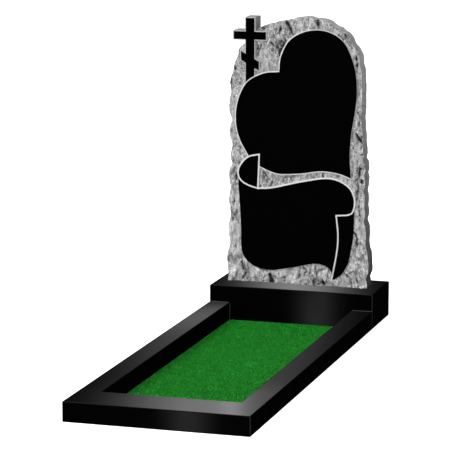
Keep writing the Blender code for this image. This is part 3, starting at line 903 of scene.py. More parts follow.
@dataclass(frozen=True)
class SplitRelief:
    """The depth of the struck ground behind the polished face, and the painted shade and tone on it there.

    Its marks are strokes drawn on the face: two ends in millimetres from the middle of the slab's
    foot, a reach in millimetres and a strength.
    """

    mean_depth: float = 6 * MM
    facet_size: tuple[float, float] = (30 * MM, 46 * MM)
    facet_tilt: float = 0.13
    facet_step: float = 1.6 * MM
    facet_sharpness: float = 5.0
    ridge_depth: float = 2.6 * MM
    grit_depth: float = 1.1 * MM
    shallowest: float = 2.0 * MM
    crack_depth: float = 6 * MM
    fray: float = 0.45
    seed: int = 11
    fresh: tuple[Stroke, ...] = (
        (40, 955, 37, 923, 15.1, 0.5), (87, 946, 102, 925, 6.8, 0.6), (-2, 52, -17, 8, 10.1, 0.5),
        (-242, 45, -223, 2, 12.2, 0.2), (-144, 59, -129, 12, 10.8, 0.25), (238, 201, 234, 154, 5.8, 0.35),
        (-242, 663, -246, 584, 10.1, 0.3), (-229, 545, -216, 495, 6.5, 0.4),
        (-106, 805, -135, 771, 16.6, 0.25),
        (4, 957, -3, 914, 10.8, 0.25), (124, 919, 153, 895, 7.2, 0.35), (218, 497, 222, 469, 6.5, 0.3),
        (227, 301, 231, 269, 5.8, 0.35), (-238, 240, -242, 126, 8.6, 0.2))
    rough: tuple[Stroke, ...] = (
        (-150, 895, -60, 840, 40, 1.0), (0, 950, 100, 945, 25, 1.0), (205, 10, 225, 120, 38, 1.0),
        (60, 25, 160, 40, 30, 1.0), (-135, 380, -100, 385, 22, 0.6))
    calm: tuple[Stroke, ...] = (
        (-245, 700, -245, 520, 24, 1.0), (-60, 25, -5, 35, 26, 0.8), (-105, 805, -90, 775, 26, 0.8),
        (-235, 60, -225, 10, 20, 0.7), (215, 290, 225, 330, 20, 0.7))
    bruises: tuple[Stroke, ...] = (
        (-65, 873, -91, 837, 12.2, 0.45), (-151, 860, -151, 814, 6.5, 0.4), (53, 23, 98, 11, 10.8, 0.36),
        (20, 63, 68, 24, 5.4, 0.35), (-130, 402, -115, 359, 10.8, 0.26), (167, 903, 193, 858, 7.9, 0.3),
        (-239, 793, -250, 756, 5.8, 0.35), (230, 441, 212, 368, 8.6, 0.28), (-204, 70, -185, 8, 8.6, 0.25))
    cracks: tuple[Stroke, ...] = (
        (-48, 946, -21, 899, 4.3, 1.0), (-66, 924, -71, 899, 2.6, 0.9), (66, 948, 71, 927, 5.8, 0.95),
        (-47, 877, -74, 825, 5.2, 0.72), (-75, 851, -69, 820, 3.4, 0.9), (-103, 868, -88, 851, 4.3, 0.65),
        (-107, 870, -105, 865, 2.2, 0.5), (-153, 865, -146, 820, 3.6, 0.7), (-138, 858, -145, 831, 2.5, 0.6),
        (170, 901, 170, 893, 3.2, 0.5), (178, 874, 194, 856, 4.0, 0.5),
        (209, 832, 210, 812, 3.2, 0.75), (212, 804, 213, 787, 3.4, 0.95),
        (215, 782, 214, 770, 2.5, 0.5),
        (218, 706, 220, 689, 2.5, 0.5), (-237, 780, -232, 765, 3.6, 0.7), (-248, 734, -248, 713, 2.9, 0.6),
        (-230, 758, -229, 744, 7.9, 0.3), (-215, 721, -215, 711, 3.2, 0.35),
        (-238, 672, -238, 663, 3.2, 0.4),
        (-247, 555, -247, 537, 5.4, 0.5), (-217, 484, -217, 466, 3.6, 0.5), (-240, 445, -240, 430, 4.3, 0.5),
        (-158, 764, -157, 756, 2.9, 0.7), (-133, 918, -124, 914, 2.9, 0.6),
        (-236, 414, -246, 392, 4.7, 0.55), (-231, 389, -229, 371, 3.6, 0.75),
        (-241, 345, -242, 334, 3.6, 0.5), (-238, 303, -238, 277, 4.0, 0.6),
        (-226, 262, -227, 243, 4.3, 0.45), (-240, 230, -246, 215, 4.0, 0.65),
        (-222, 220, -220, 211, 2.9, 0.6),
        (-230, 135, -231, 120, 3.2, 0.55), (-245, 96, -245, 83, 3.6, 0.45), (-207, 76, -203, 43, 4.0, 0.8),
        (-193, 31, -208, 2, 4.3, 0.65), (-135, 410, -115, 386, 4.0, 0.6), (-127, 387, -126, 375, 2.9, 0.6),
        (-140, 355, -139, 346, 3.6, 0.6), (-91, 376, -100, 353, 3.2, 0.6), (-46, 392, -48, 380, 3.4, 0.5),
        (-30, 389, -25, 375, 3.4, 0.5), (-54, 380, -58, 367, 3.2, 0.4), (38, 402, 33, 390, 3.2, 0.45),
        (66, 412, 69, 399, 7.0, 0.33), (89, 404, 93, 391, 3.4, 0.8), (140, 407, 147, 393, 7.0, 0.36),
        (216, 634, 227, 610, 2.2, 0.65), (222, 602, 222, 579, 2.5, 0.6), (210, 556, 231, 520, 3.2, 1.0),
        (201, 507, 202, 498, 2.5, 0.5), (208, 495, 214, 486, 2.9, 0.5), (226, 442, 222, 395, 3.6, 0.7),
        (231, 390, 236, 378, 4.7, 1.0), (198, 412, 199, 401, 3.2, 0.6), (221, 372, 215, 305, 4.0, 0.65),
        (181, 393, 181, 384, 2.9, 0.5), (223, 304, 228, 259, 4.0, 0.6), (225, 250, 226, 239, 3.2, 0.5),
        (205, 205, 219, 180, 2.5, 0.9), (217, 181, 217, 143, 3.6, 0.7), (246, 145, 248, 130, 3.2, 0.6),
        (240, 121, 241, 112, 2.5, 0.5), (175, 49, 186, 38, 5.0, 0.55), (198, 35, 200, 6, 3.6, 0.45),
        (214, 38, 223, 15, 4.3, 0.5), (92, 21, 99, 6, 4.7, 1.0), (60, 22, 61, 1, 3.6, 0.7),
        (16, 69, 31, 52, 4.0, 0.5), (65, 67, 70, 33, 3.6, 0.55), (-104, 34, -100, 13, 4.6, 1.0),
        (-98, 17, -97, -5, 5.6, 1.0),
        (-135, 13, -136, -8, 2.2, 0.45), (-70, 48, -69, 26, 2.9, 0.4), (6, 38, 3, 19, 3.2, 0.55),
        (11, 20, 13, 0, 2.5, 0.4), (-157, 20, -154, 6, 2.9, 0.3), (115, 66, 119, 41, 3.6, 0.4))

    def facets(self, places: Floats) -> Floats:
        """Return the broad chisel facets: a plane round each seed, the nearest seed's the strongest.

        A seed weighs exp(-2 s^2 * (its distance - the nearest seed's distance)), where s is the
        facets' sharpness and distances are in facet sizes.

        Args:
            places: points on the face.
        Returns:
            Their height above the mean, in metres.
        """
        rng = np.random.default_rng(self.seed)
        low, high = places.min(axis=0), places.max(axis=0)
        size = np.array(self.facet_size)
        count = np.ceil((high - low) / size).astype(int) + 1
        grid = np.stack(np.meshgrid(np.arange(count[0]), np.arange(count[1])), axis=-1).reshape(-1, 2)
        seeds = low + (grid + rng.uniform(-0.45, 0.45, grid.shape)) * size
        tilt = rng.normal(0.0, self.facet_tilt, grid.shape)
        step = rng.uniform(-self.facet_step, self.facet_step, len(grid))
        height = np.zeros(len(places))
        for part in np.array_split(np.arange(len(places)), BATCHES):
            offset = places[part, None] - seeds[None]
            away = np.linalg.norm(offset / size, axis=2)
            behind = away - away.min(axis=1, keepdims=True)
            weight = np.exp(-self.facet_sharpness * 2 * behind) ** self.facet_sharpness
            plane = step + np.sum(offset * tilt[None], axis=2)
            height[part] = np.sum(weight * plane, axis=1) / np.sum(weight, axis=1)
        return height

    def marked(self, places: Floats, marks: tuple[Stroke, ...]) -> Floats:
        """Return how strongly each place is marked by some strokes on the face.

        A stroke runs between two points in millimetres, tapers to its ends and falls off as
        strength * exp(-(distance / reach)^2). A noise shifts the distance, so that its edge frays.

        Args:
            places: points on the face.
            marks: two points, a reach and a strength for each stroke.
        Returns:
            The strongest mark at each place, from 0 to 1.
        """
        flat = np.column_stack([places, np.zeros(len(places))])
        noise = StoneNoise(self.seed + 5)
        shift = noise.at(flat, (13 * MM, 13 * MM, 1.0)) + 1.2 * noise.at(flat + 0.6, (5 * MM, 7 * MM, 1.0))
        deep = np.zeros(len(places))
        for x0, z0, x1, z1, reach, strength in marks:
            start, end = np.array((x0, z0)) * MM, np.array((x1, z1)) * MM
            run = end - start
            along = np.clip((places - start) @ run / (run @ run), 0, 1)
            away = np.linalg.norm(places - start - along[:, None] * run, axis=1)
            away = np.maximum(away + shift * self.fray * reach * MM, 0.0)
            taper = 0.45 + 0.55 * np.sin(np.pi * along)
            reach = reach * MM * taper * (0.9 + 0.6 * strength**3)
            deep = np.maximum(deep, strength * np.exp(-(away / reach) ** 2))
        return deep

    def roughness(self, places: Floats) -> Floats:
        """Return how rough the stone broke at each place, from -1 where it is calm to 1."""
        return self.marked(places, self.rough) - self.marked(places, self.calm)

    def at(self, places: Floats) -> tuple[Floats, Floats]:
        """Return the depth of the ground and its painted shade and tone value.

        The ground is the facets, a ridged noise (1 - |noise|) drawn out upwards, and two finer
        noises. Where the finer ones sink into pits and where the cracks run deep, the ground is darkened as
        painted shade; the bruises darken it as tone. How dark is given as the eye sees it, and the painted
        shade and tone value is that in linear light: 1 - (1 - seen)^1.9. Fresh facets take it below 0.

        Args:
            places: points on the face.
        Returns:
            Depth in metres and painted shade and tone from -1 to 1.
        """
        flat = np.column_stack([places[:, 0], np.zeros(len(places)), places[:, 1]])
        noise = StoneNoise(self.seed + 1)
        ridge = 1 - np.abs(noise.at(flat, (17 * MM, 1.0, 38 * MM))) - 0.75
        chips = noise.at(flat + 3.7, (8 * MM, 1.0, 13 * MM))
        grit = noise.at(flat + 9.1, (4.5 * MM, 1.0, 6 * MM))
        spread = smoothstep(noise.at(flat + 5.3, (45 * MM, 1.0, 70 * MM)), -0.35, 0.35)
        clumps = noise.at(flat + 7.7, (6 * MM, 1.0, 9.5 * MM))
        crack = np.clip(self.marked(places, self.cracks) * (1 + 0.45 * clumps), 0, 1)
        bruise = self.marked(places, self.bruises) * (1 + 1.3 * clumps + 0.6 * grit)
        fine = -self.ridge_depth * ridge - self.grit_depth * (0.7 * chips + 0.5 * grit)
        depth = self.mean_depth - self.facets(places) + fine + self.crack_depth * crack
        # Pits, where the fine relief sinks deepest, and cracks are darkened as painted shade; bruises as
        # tone.
        painted_pit_shade = smoothstep(-0.55 * chips - 0.45 * grit - 0.8 * ridge, 0.12, 0.75)
        dark = np.maximum.reduce([0.5 * painted_pit_shade * (0.35 + 0.65 * spread), 1.3 * crack**1.4, bruise])
        seen = np.clip(dark, 0, 1)
        pale = self.marked(places, self.fresh) * (1 - seen)
        return np.maximum(depth, self.shallowest), 1 - (1 - seen) ** 1.9 - pale


@dataclass
class Headstone:
    """The carved slab, as one closed surface with its face, the walls in it, its sides and its back."""

    lines: CarvingLines = field(default_factory=CarvingLines)
    relief: SplitRelief = field(default_factory=SplitRelief)
    grit_step: float = 2.5 * MM
    back_step: float = 16 * MM
    line_depth: float = 1.5 * MM
    side_rings: int = 24
    side_chip: float = 1.8 * MM
    side_grit: float = 0.7 * MM
    grid_jitter: float = 0.2
    grid_clearance: float = 0.5
    grid_seed: int = 3
    side_seed: int = 29

    def __post_init__(self) -> None:
        """Read the slab's place from the frame."""
        low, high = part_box("headstone")
        self.front, self.foot = low[1], low[2]
        self.thickness = high[1] - low[1]

    def face_points(self, layers: list[tuple[Floats, Made]]) -> Floats:
        """Return the struck ground's own points, clear of every outline.

        Args:
            layers: the face's outlines.
        Returns:
            Points across and up the face.
        """
        edges = np.vstack([loop for loop, _ in layers])
        grid = triangular_grid(edges.min(axis=0), edges.max(axis=0), self.grit_step)
        rng = np.random.default_rng(self.grid_seed)
        grid = grid + rng.uniform(-self.grid_jitter, self.grid_jitter, grid.shape) * self.grit_step
        kept = []
        for part in np.array_split(grid, BATCHES):
            keep = inside(part, layers[0][0])
            for loop, _ in layers[1:]:
                keep &= ~inside(part, loop)
            part = part[keep]
            if len(part):
                away = np.linalg.norm(part[:, None] - edges[None], axis=2).min(axis=1)
                kept.append(part[away > self.grid_clearance * self.grit_step])
        return np.vstack(kept)

    def triangles(self) -> tuple[Floats, Whole, Whole]:
        """Cut the face into triangles that keep to the outlines.

        Returns:
            The corners, the triangles and what each triangle is made of.
        """
        layers = self.lines.layers()
        loops = [loop for loop, _ in layers]
        faces, first = [], 0
        for loop in loops:
            faces.append(list(range(first, first + len(loop))))
            first += len(loop)
        points = np.vstack(loops + [self.face_points(layers)])
        corners, _, cut, _, _, owners = geometry.delaunay_2d_cdt(
            [Vector(p) for p in points], [], faces, 1, 1e-7)
        rank = np.array([max(owner, default=0) for owner in owners])
        kinds = np.array([kind for _, kind in layers])[rank]
        return np.array([tuple(c) for c in corners]), np.array([tuple(t) for t in cut]), kinds

    def build(self) -> bpy.types.Mesh:
        """Make the slab's mesh.

        Every corner of the face has one place for each kind of surface that meets there. Where two
        kinds meet, a wall joins their two depths; at the rim, rings carry the edge to the back.

        Returns:
            The mesh, with its "painted_shade_and_tone" and "rough" values.
        """
        flat, cut, kinds = self.triangles()
        count = len(flat)
        depth, painted_shade_and_tone = self.relief.at(flat)
        depths = np.stack([depth, np.full(count, self.line_depth), np.zeros(count)])
        places = np.stack([np.tile(flat[:, 0], 3), self.front + depths.ravel(),
                           self.foot + np.tile(flat[:, 1], 3)], axis=1)
        # Painted shade and tone on the ground, the cross's fainter line, and nothing on the polish.
        painted_shades_and_tones = np.concatenate([painted_shade_and_tone, self.lines.faintness(flat), np.zeros(count)])
        rise = depths - self.line_depth
        parts = MeshParts(places)
        for kind, slot in ((Made.GROUND, Slot.SPLIT), (Made.LINE, Slot.LINE), (Made.POLISH, Slot.POLISH)):
            parts.add(cut[kinds == kind] + kind * count, slot, kind == Made.GROUND)
        edges = np.vstack([cut[:, [0, 1]], cut[:, [1, 2]], cut[:, [2, 0]]])
        edge_kind = np.tile(kinds, 3)
        key, back_key = edges[:, 0] * count + edges[:, 1], edges[:, 1] * count + edges[:, 0]
        order = np.argsort(key)
        found = np.minimum(np.searchsorted(key[order], back_key), len(key) - 1)
        met = key[order][found] == back_key
        other = np.where(met, edge_kind[order][found], -1)
        used = np.zeros((3, count), dtype=bool)
        used[np.repeat(kinds, 3), cut.ravel()] = True
        inner = met & (edge_kind > other)
        self.add_walls(parts, edges[inner], edge_kind[inner], other[inner], used, count)
        rim_places, rim_painted_shade = self.add_sides(parts, flat, edges[~met], edge_kind[~met], used, depths)
        log.info("slab: %d face triangles, relief from %.1f to %.1f mm", len(cut),
                 float(rise[0].min() / MM), float(rise[0].max() / MM))
        parts.places = np.vstack([parts.places, rim_places])
        rough = np.zeros(len(parts.places))
        rough[:count] = self.relief.roughness(flat)
        return parts.mesh("headstone_carved", {
            "painted_shade_and_tone": np.concatenate([painted_shades_and_tones, rim_painted_shade]), "rough": rough})

    def add_walls(self, parts: MeshParts, edges: Whole, upper: Whole, lower: Whole,
                  used: Flags, count: int) -> None:
        """Add the upright walls between a prouder and a deeper part of the face.

        Args:
            parts: where the walls go.
            edges: the prouder side's edges.
            upper: the prouder kind at each edge.
            lower: the deeper kind.
            used: which kinds meet at each corner.
            count: how many corners one kind has.
        """
        a, b = edges.T
        drop = (upper == Made.POLISH) & (lower == Made.GROUND)
        for a_split, b_split in product((False, True), repeat=2):
            chosen = ((drop & used[Made.LINE, a]) == a_split) & ((drop & used[Made.LINE, b]) == b_split)
            columns = [b + upper * count, a + upper * count]
            columns += [a + Made.LINE * count] if a_split else []
            columns += [a + lower * count, b + lower * count]
            columns += [b + Made.LINE * count] if b_split else []
            slot = np.where(lower == Made.GROUND, Slot.SPLIT, Slot.LINE)
            parts.add(np.stack(columns, axis=1)[chosen], slot[chosen], False)

    def add_sides(self, parts: MeshParts, flat: Floats, edges: Whole, kinds: Whole,
                  used: Flags, depths: Floats) -> tuple[Floats, Floats]:
        """Add the struck sides in rings from the face's rim to the back, and the sawn back.

        Args:
            parts: where they go.
            flat: the face's corners.
            edges: the rim's edges.
            kinds: what each of them belongs to.
            used: which kinds meet at each corner.
            depths: each kind's depth at each corner.
        Returns:
            The new corners and their painted shade values.
        """
        count = len(flat)
        a, b = edges.T
        rim, place = np.unique(edges, return_inverse=True)
        start, end = place.reshape(edges.shape).T
        outward = self.rim_normals(flat[b] - flat[a], start, end)
        deepest = np.where(used[0, rim], 0, np.where(used[1, rim], 1, 2))
        struck = used[0, rim] & ~used[1, rim] & ~used[2, rim]
        share = np.arange(1, self.side_rings + 1) / self.side_rings
        own_depth = depths[deepest, rim]
        y = own_depth[None] + (self.thickness - own_depth[None]) * share[:, None]
        where = np.stack([np.broadcast_to(flat[rim, 0], y.shape), y,
                          np.broadcast_to(flat[rim, 1], y.shape)], axis=2).reshape(-1, 3)
        push, painted_shade_and_tone = self.side_relief(where, np.tile(struck, self.side_rings))
        where[:, [0, 2]] += push[:, None] * np.tile(outward, (self.side_rings, 1))
        first = 3 * count
        ring = first + np.arange(self.side_rings)[:, None] * len(rim)
        cross_edge = kinds != Made.GROUND
        slot = np.where(cross_edge, Slot.GROUND_FLAT, Slot.STRUCK)
        a_deep, b_deep = deepest[start] * count + a, deepest[end] * count + b
        a_own, b_own = kinds * count + a, kinds * count + b
        for a_split, b_split in product((False, True), repeat=2):
            chosen = ((a_deep != a_own) == a_split) & ((b_deep != b_own) == b_split)
            columns = [b_own, a_own] + ([a_deep] if a_split else [])
            columns += [ring[0] + start, ring[0] + end] + ([b_deep] if b_split else [])
            parts.add(np.stack(columns, axis=1)[chosen], slot[chosen], False)
        for near, far in zip(ring, ring[1:]):
            quads = np.stack([near + end, near + start, far + start, far + end], axis=1)
            parts.add(quads[~cross_edge], Slot.STRUCK, True)
            parts.add(quads[cross_edge], Slot.GROUND_FLAT, False)
        back = where[-len(rim):][:, [0, 2]]
        inner, faces = self.sawn_back(back, np.stack([start, end], axis=1))
        last, extra = ring[-1][0], first + len(where)
        lookup = np.concatenate([last + np.arange(len(rim)), extra + np.arange(len(inner))])
        parts.add(lookup[faces][:, ::-1], Slot.GROUND_FLAT, False)
        sheet = np.column_stack([inner[:, 0], np.full(len(inner), self.thickness), inner[:, 1]])
        made = np.vstack([where, sheet]) + (0.0, self.front, self.foot)
        return made, np.concatenate([painted_shade_and_tone, np.zeros(len(inner))])

    def rim_normals(self, run: Floats, start: Whole, end: Whole) -> Floats:
        """Return the way out of the slab at each rim corner: the mean of its two edges' normals.

        Args:
            run: the way from start to end along each edge.
            start: the rim corner at which each edge starts.
            end: the rim corner at which it ends.
        Returns:
            A direction of length 1 for each rim corner.
        """
        outward = np.zeros((int(start.max()) + 1, 2))
        for corner in (start, end):
            np.add.at(outward, corner, np.stack([run[:, 1], -run[:, 0]], axis=1))
        return outward / np.linalg.norm(outward, axis=1, keepdims=True)

    def side_relief(self, where: Floats, struck: Flags) -> tuple[Floats, Floats]:
        """Return how far the struck sides are pushed out, and the painted shade where they sink in.

        Chips and grit are two noises, drawn out across the slab's thickness. They fade in behind the
        face's rim and fade out at the foot.

        Args:
            where: points across, back and up the slab.
            struck: which of them may be pushed.
        Returns:
            Metres outwards and painted shade from 0 to 1.
        """
        noise = StoneNoise(self.side_seed)
        chips = noise.at(where, (20 * MM, 34 * MM, 24 * MM))
        grit = noise.at(where + 2.9, (6 * MM, 9 * MM, 6 * MM))
        fade = smoothstep(where[:, 1] / self.thickness, 0.08, 0.3) * smoothstep(where[:, 2], 0.0, 12 * MM)
        push = (self.side_chip * chips + self.side_grit * grit) * fade * struck
        # Painted shade where the chips and grit sink in.
        painted_shade_and_tone = smoothstep(-chips * 0.6 - grit * 0.5, 0.15, 0.8) * struck * 0.35
        return push, painted_shade_and_tone

    def sawn_back(self, rim: Floats, edges: Whole) -> tuple[Floats, Whole]:
        """Cut the back's outline into even triangles.

        Args:
            rim: the outline's points.
            edges: its sides, as pairs of point numbers.
        Returns:
            The further points that were put inside, and the triangles over both.
        """
        grid = triangular_grid(rim.min(axis=0), rim.max(axis=0), self.back_step)
        away = distance_to(grid, rim[edges[:, 0]], rim[edges[:, 1]])
        loop = self.ordered(rim, edges)
        grid = grid[(away > self.grid_clearance * self.back_step) & inside(grid, loop)]
        points = np.vstack([rim, grid])
        corners, _, cut, _, _, _ = geometry.delaunay_2d_cdt(
            [Vector(p) for p in points], [tuple(map(int, e)) for e in edges], [], 1, 0.0)
        if len(corners) != len(points):
            raise ValueError("the back's outline crosses itself")
        return grid, np.array([tuple(t) for t in cut])

    def ordered(self, rim: Floats, edges: Whole) -> Floats:
        """Put the rim's points in the order in which its edges join them.

        Args:
            rim: the points.
            edges: pairs of point numbers.
        Returns:
            The same points as a loop.
        """
        following = np.empty(len(rim), dtype=np.int64)
        following[edges[:, 0]] = edges[:, 1]
        order = [0]
        while following[order[-1]] != 0:
            order.append(int(following[order[-1]]))
        return rim[order]

    def place(self) -> bpy.types.Object:
        """Make the slab and dress it.

        Returns:
            The slab's piece.
        """
        materials = [
            # The struck face takes painted light at its foot.
            SplitGabbro().material(),
            EtchedLine().material(),
            PolishedGabbro(name="polished_carving", specular=0.2).material(),
            # The struck sides take painted shade, darker towards their foot.
            SplitGabbro(name="struck_side", light="a9a9a9", middle="989898", dark="4a4a4a",
                        bump_height=0.35 * MM, foot_painted_shading=0.14).material(),
            GroundGabbro().material(),
        ]
        return add_piece("headstone_carved", self.build(), materials, ("headstone",))


@dataclass
class TurfBed:
    """The turf inside the kerb: a thin backing and the blades that stand on it."""

    backing_thickness: float = 2.1 * MM
    backing_wave: float = 0.5 * MM
    spread: float = 1.6 * MM
    blade_spacing: float = 3.3 * MM
    blade_width: float = 1.6 * MM
    blade_height: float = 3.2 * MM
    root_depth: float = 0.5 * MM
    lean: float = 1.5
    backing_cells: tuple[int, int] = (44, 128)
    backing_shade: float = 0.12
    seed: int = 7

    def __post_init__(self) -> None:
        """Read the mat's place from the frame, and spread it until it meets the kerb's faces."""
        self.low, self.high = (np.array(corner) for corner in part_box("turf_mat"))
        self.low[:2] -= self.spread
        self.high[:2] += self.spread

    def backing(self) -> bpy.types.Mesh:
        """Make the backing: a grid lifted by noise, with a flat underside and upright rims.

        Returns:
            The backing's mesh.
        """
        columns, rows = self.backing_cells
        x = np.linspace(self.low[0], self.high[0], columns + 1)
        y = np.linspace(self.low[1], self.high[1], rows + 1)
        grid = np.stack(np.meshgrid(x, y), axis=-1).reshape(-1, 2)
        swell = StoneNoise(self.seed).at(np.column_stack([grid, np.zeros(len(grid))]),
                                         (22 * MM, 22 * MM, 1.0))
        top = np.column_stack([grid, self.backing_thickness + self.backing_wave * swell])
        bottom = np.column_stack([grid, np.full(len(grid), self.low[2])])
        number = np.arange(len(grid)).reshape(rows + 1, columns + 1)
        quads = np.stack([number[:-1, :-1], number[:-1, 1:], number[1:, 1:], number[1:, :-1]],
                         axis=-1).reshape(-1, 4)
        rim = np.concatenate([number[0, :-1], number[:-1, -1], number[-1, :0:-1], number[:0:-1, 0]])
        after = np.roll(rim, -1)
        parts = MeshParts(np.vstack([top, bottom]))
        parts.add(quads, 0, True)
        parts.add(quads[:, ::-1] + len(grid), 0, False)
        parts.add(np.stack([rim + len(grid), after + len(grid), after, rim], axis=1), 0, False)
        # The backing takes nearly the roots' painted shade.
        shade = np.full(2 * len(grid), self.backing_shade)
        return parts.mesh("turf_backing", {"height": shade, "tip_highlight_share": np.zeros(2 * len(grid))})

    def blades(self) -> bpy.types.Mesh:
        """Make the blades: each a quad and a tip that lean and curl over together.

        A blade's middle is a little over half its height up and a quarter of its lean out, and its
        tip is at its full height and lean.

        Returns:
            The mesh of all blades.
        """
        rng = np.random.default_rng(self.seed)
        low, high = self.low[:2] + self.blade_width, self.high[:2] - self.blade_width
        root = triangular_grid(low, high, self.blade_spacing)
        root = root + rng.uniform(-0.5, 0.5, root.shape) * self.blade_spacing
        root = np.clip(root, low, high)
        count = len(root)
        turn = rng.uniform(0, math.tau, count)
        out = np.stack([np.cos(turn), np.sin(turn)], axis=1)
        side = np.stack([-out[:, 1], out[:, 0]], axis=1) * self.blade_width / 2
        tall = self.blade_height * rng.uniform(0.7, 1.0, count)
        reach = (tall * self.lean * rng.uniform(0.1, 1.0, count))[:, None]
        ground = self.backing_thickness - self.root_depth
        levels = (
            (root - side, 0.0), (root + side, 0.0),
            (root + out * reach * 0.25 + side * 0.8, 0.55), (root + out * reach * 0.25 - side * 0.8, 0.55),
            (root + out * reach, 1.0))
        places = np.stack([np.column_stack([np.clip(xy, low, high), ground + tall * up])
                           for xy, up in levels], axis=1)
        number = np.arange(count)[:, None] * 5
        parts = MeshParts(places.reshape(-1, 3))
        parts.add(number + np.array([0, 1, 2, 3]), 0, True)
        parts.add(number + np.array([3, 2, 4]), 0, True)
        # Painted shade darkens each blade towards its root; a painted highlight lightens some tips.
        height = np.tile([0.25, 0.25, 0.8, 0.8, 1.0], count)
        tip_highlight_share = np.repeat(rng.uniform(0.0, 1.0, count) ** 2, 5)
        return parts.mesh("turf_blades", {"height": height, "tip_highlight_share": tip_highlight_share})

    def place(self) -> list[bpy.types.Object]:
        """Make the backing and the blades and dress them.

        Returns:
            Both pieces.
        """
        green = Turf().material()
        return [
            add_piece("turf_backing", self.backing(), [green], ("turf_mat",)),
            add_piece("turf_blades", self.blades(), [green]),
        ]


@dataclass
class PolishedBlocks:
    """The stand and the kerb's three bars, which keep the frame's own shapes."""

    nodes: tuple[str, ...] = ("stand", "kerb_left", "kerb_right", "kerb_front")
    finish: PolishedGabbro = field(default_factory=PolishedGabbro)

    def dress(self) -> None:
        """Give every block the polished finish."""
        material = self.finish.material()
        for name in self.nodes:
            block = frame["nodes"][name]
            for slot in block.material_slots:
                slot.material = material
            if not block.material_slots:
                block.data.materials.append(material)
            log.info("%s: dressed as %s", name, self.finish.name)


@dataclass(frozen=True)
class JointMortarAndGlint:
    """Dark mortar smoothed along a joint: dry, fine and nearly black, whose grey also paints the glint along
    the joint.
    """

    name: str = "joint_mortar_and_glint"
    light: str = "464646"
    dark: str = "343434"
    grain_size: float = 1.2 * MM
    roughness: float = 0.85

    def material(self) -> bpy.types.Material:
        """Make fine sand in two greys.

        Returns:
            The material.
        """
        material, tree = start_material(self.name)
        where = add_node(tree, "ShaderNodeTexCoord").outputs["Object"]
        sand = add_node(tree, "ShaderNodeTexNoise", {
            "Vector": where, "Scale": 1 / self.grain_size, "Detail": 2.0}).outputs["Fac"]
        colour = add_node(tree, "ShaderNodeMix", {
            0: sand, 6: linear(self.dark), 7: linear(self.light)}, data_type="RGBA").outputs[2]
        shader = add_node(tree, "ShaderNodeBsdfPrincipled", {
            "Base Color": colour, "Roughness": self.roughness, "Specular IOR Level": 0.2})
        add_node(tree, "ShaderNodeOutputMaterial", {"Surface": shader.outputs[0]})
        return material


@dataclass
class KerbJoints:
    """What closes the kerb's joints: resin polished flush at the front, mortar beads at the stand, whose
    grey also paints the glint there.
    """

    fill_section: Drawn = ((-2.3, -0.02), (-1.1, -0.32), (-0.6, -0.8), (-0.1, -2.0), (0.1, -2.0),
                           (0.6, -0.8), (1.1, -0.32), (2.3, -0.02))
    bead_section: Drawn = ((0.02, -2.0), (0.3, -2.0), (0.9, -0.8), (1.5, -0.45), (2.6, 0.06), (1.2, 0.7),
                           (0.02, 2.0))
    top_bead_share: float = 0.55
    end_inset: float = 2.5 * MM

    def strip(self, section: Drawn, start: Floats, end: Floats, across: Floats, out: Floats) -> MeshParts:
        """Draw a section out along a straight joint into a closed strip.

        Args:
            section: points across and out of the joint, in millimetres.
            start: one end of the joint.
            end: its other end.
            across: the section's first axis.
            out: its second axis.
        Returns:
            The strip.
        """
        flat = np.array(section) * MM
        rim = flat[:, :1] * across + flat[:, 1:] * out
        if np.dot(np.cross(across, out), end - start) * signed_area(flat) < 0:
            rim = rim[::-1]
        count = len(rim)
        number = np.arange(count)
        after = np.roll(number, -1)
        parts = MeshParts(np.vstack([rim + start, rim + end]))
        parts.add(np.stack([number, after, after + count, number + count], axis=1), 0, False)
        parts.add(number[None, ::-1], 0, False)
        parts.add(number[None] + count, 0, False)
        return parts

    def place(self) -> list[bpy.types.Object]:
        """Make the resin strips and the mortar beads of both side bars, and dress them.

        Returns:
            The eight pieces.
        """
        resin = PolishedGabbro(name="joint_resin").material()
        # The mortar's grey is also a painted glint along the joints at the stand.
        mortar = JointMortarAndGlint().material()
        x_axis, y_axis, z_axis = np.eye(3)
        front_high, stand_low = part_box("kerb_front")[1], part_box("stand")[0]
        inset = self.end_inset
        top_bead: Drawn = tuple((self.top_bead_share * across, self.top_bead_share * out)
                                for across, out in self.bead_section)
        pieces = []
        for side in ("left", "right"):
            low, high = (np.array(corner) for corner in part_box(f"kerb_{side}"))
            seam = (front_high[1] + low[1]) / 2
            inner, inward = (high[0], 1.0) if side == "left" else (low[0], -1.0)
            outer = low[0] if side == "left" else high[0]
            top, foot = high[2], low[2] + inset
            runs = (
                ("fill_top", self.fill_section, (low[0] + inset, seam, top), (high[0] - inset, seam, top),
                 y_axis, z_axis, resin),
                ("fill_side", self.fill_section, (outer, seam, foot), (outer, seam, top - inset),
                 y_axis, -inward * x_axis, resin),
                ("bead_top", top_bead, (low[0] + inset, stand_low[1], top),
                 (high[0] - inset, stand_low[1], top), -y_axis, z_axis, mortar),
                ("bead_side", self.bead_section, (inner, stand_low[1], foot),
                 (inner, stand_low[1], top - inset), -y_axis, inward * x_axis, mortar),
            )
            for label, section, start, end, across, out, material in runs:
                parts = self.strip(section, np.array(start), np.array(end), across, out)
                name = f"joint_{side}_{label}"
                pieces.append(add_piece(name, parts.mesh(name), [material]))
        return pieces


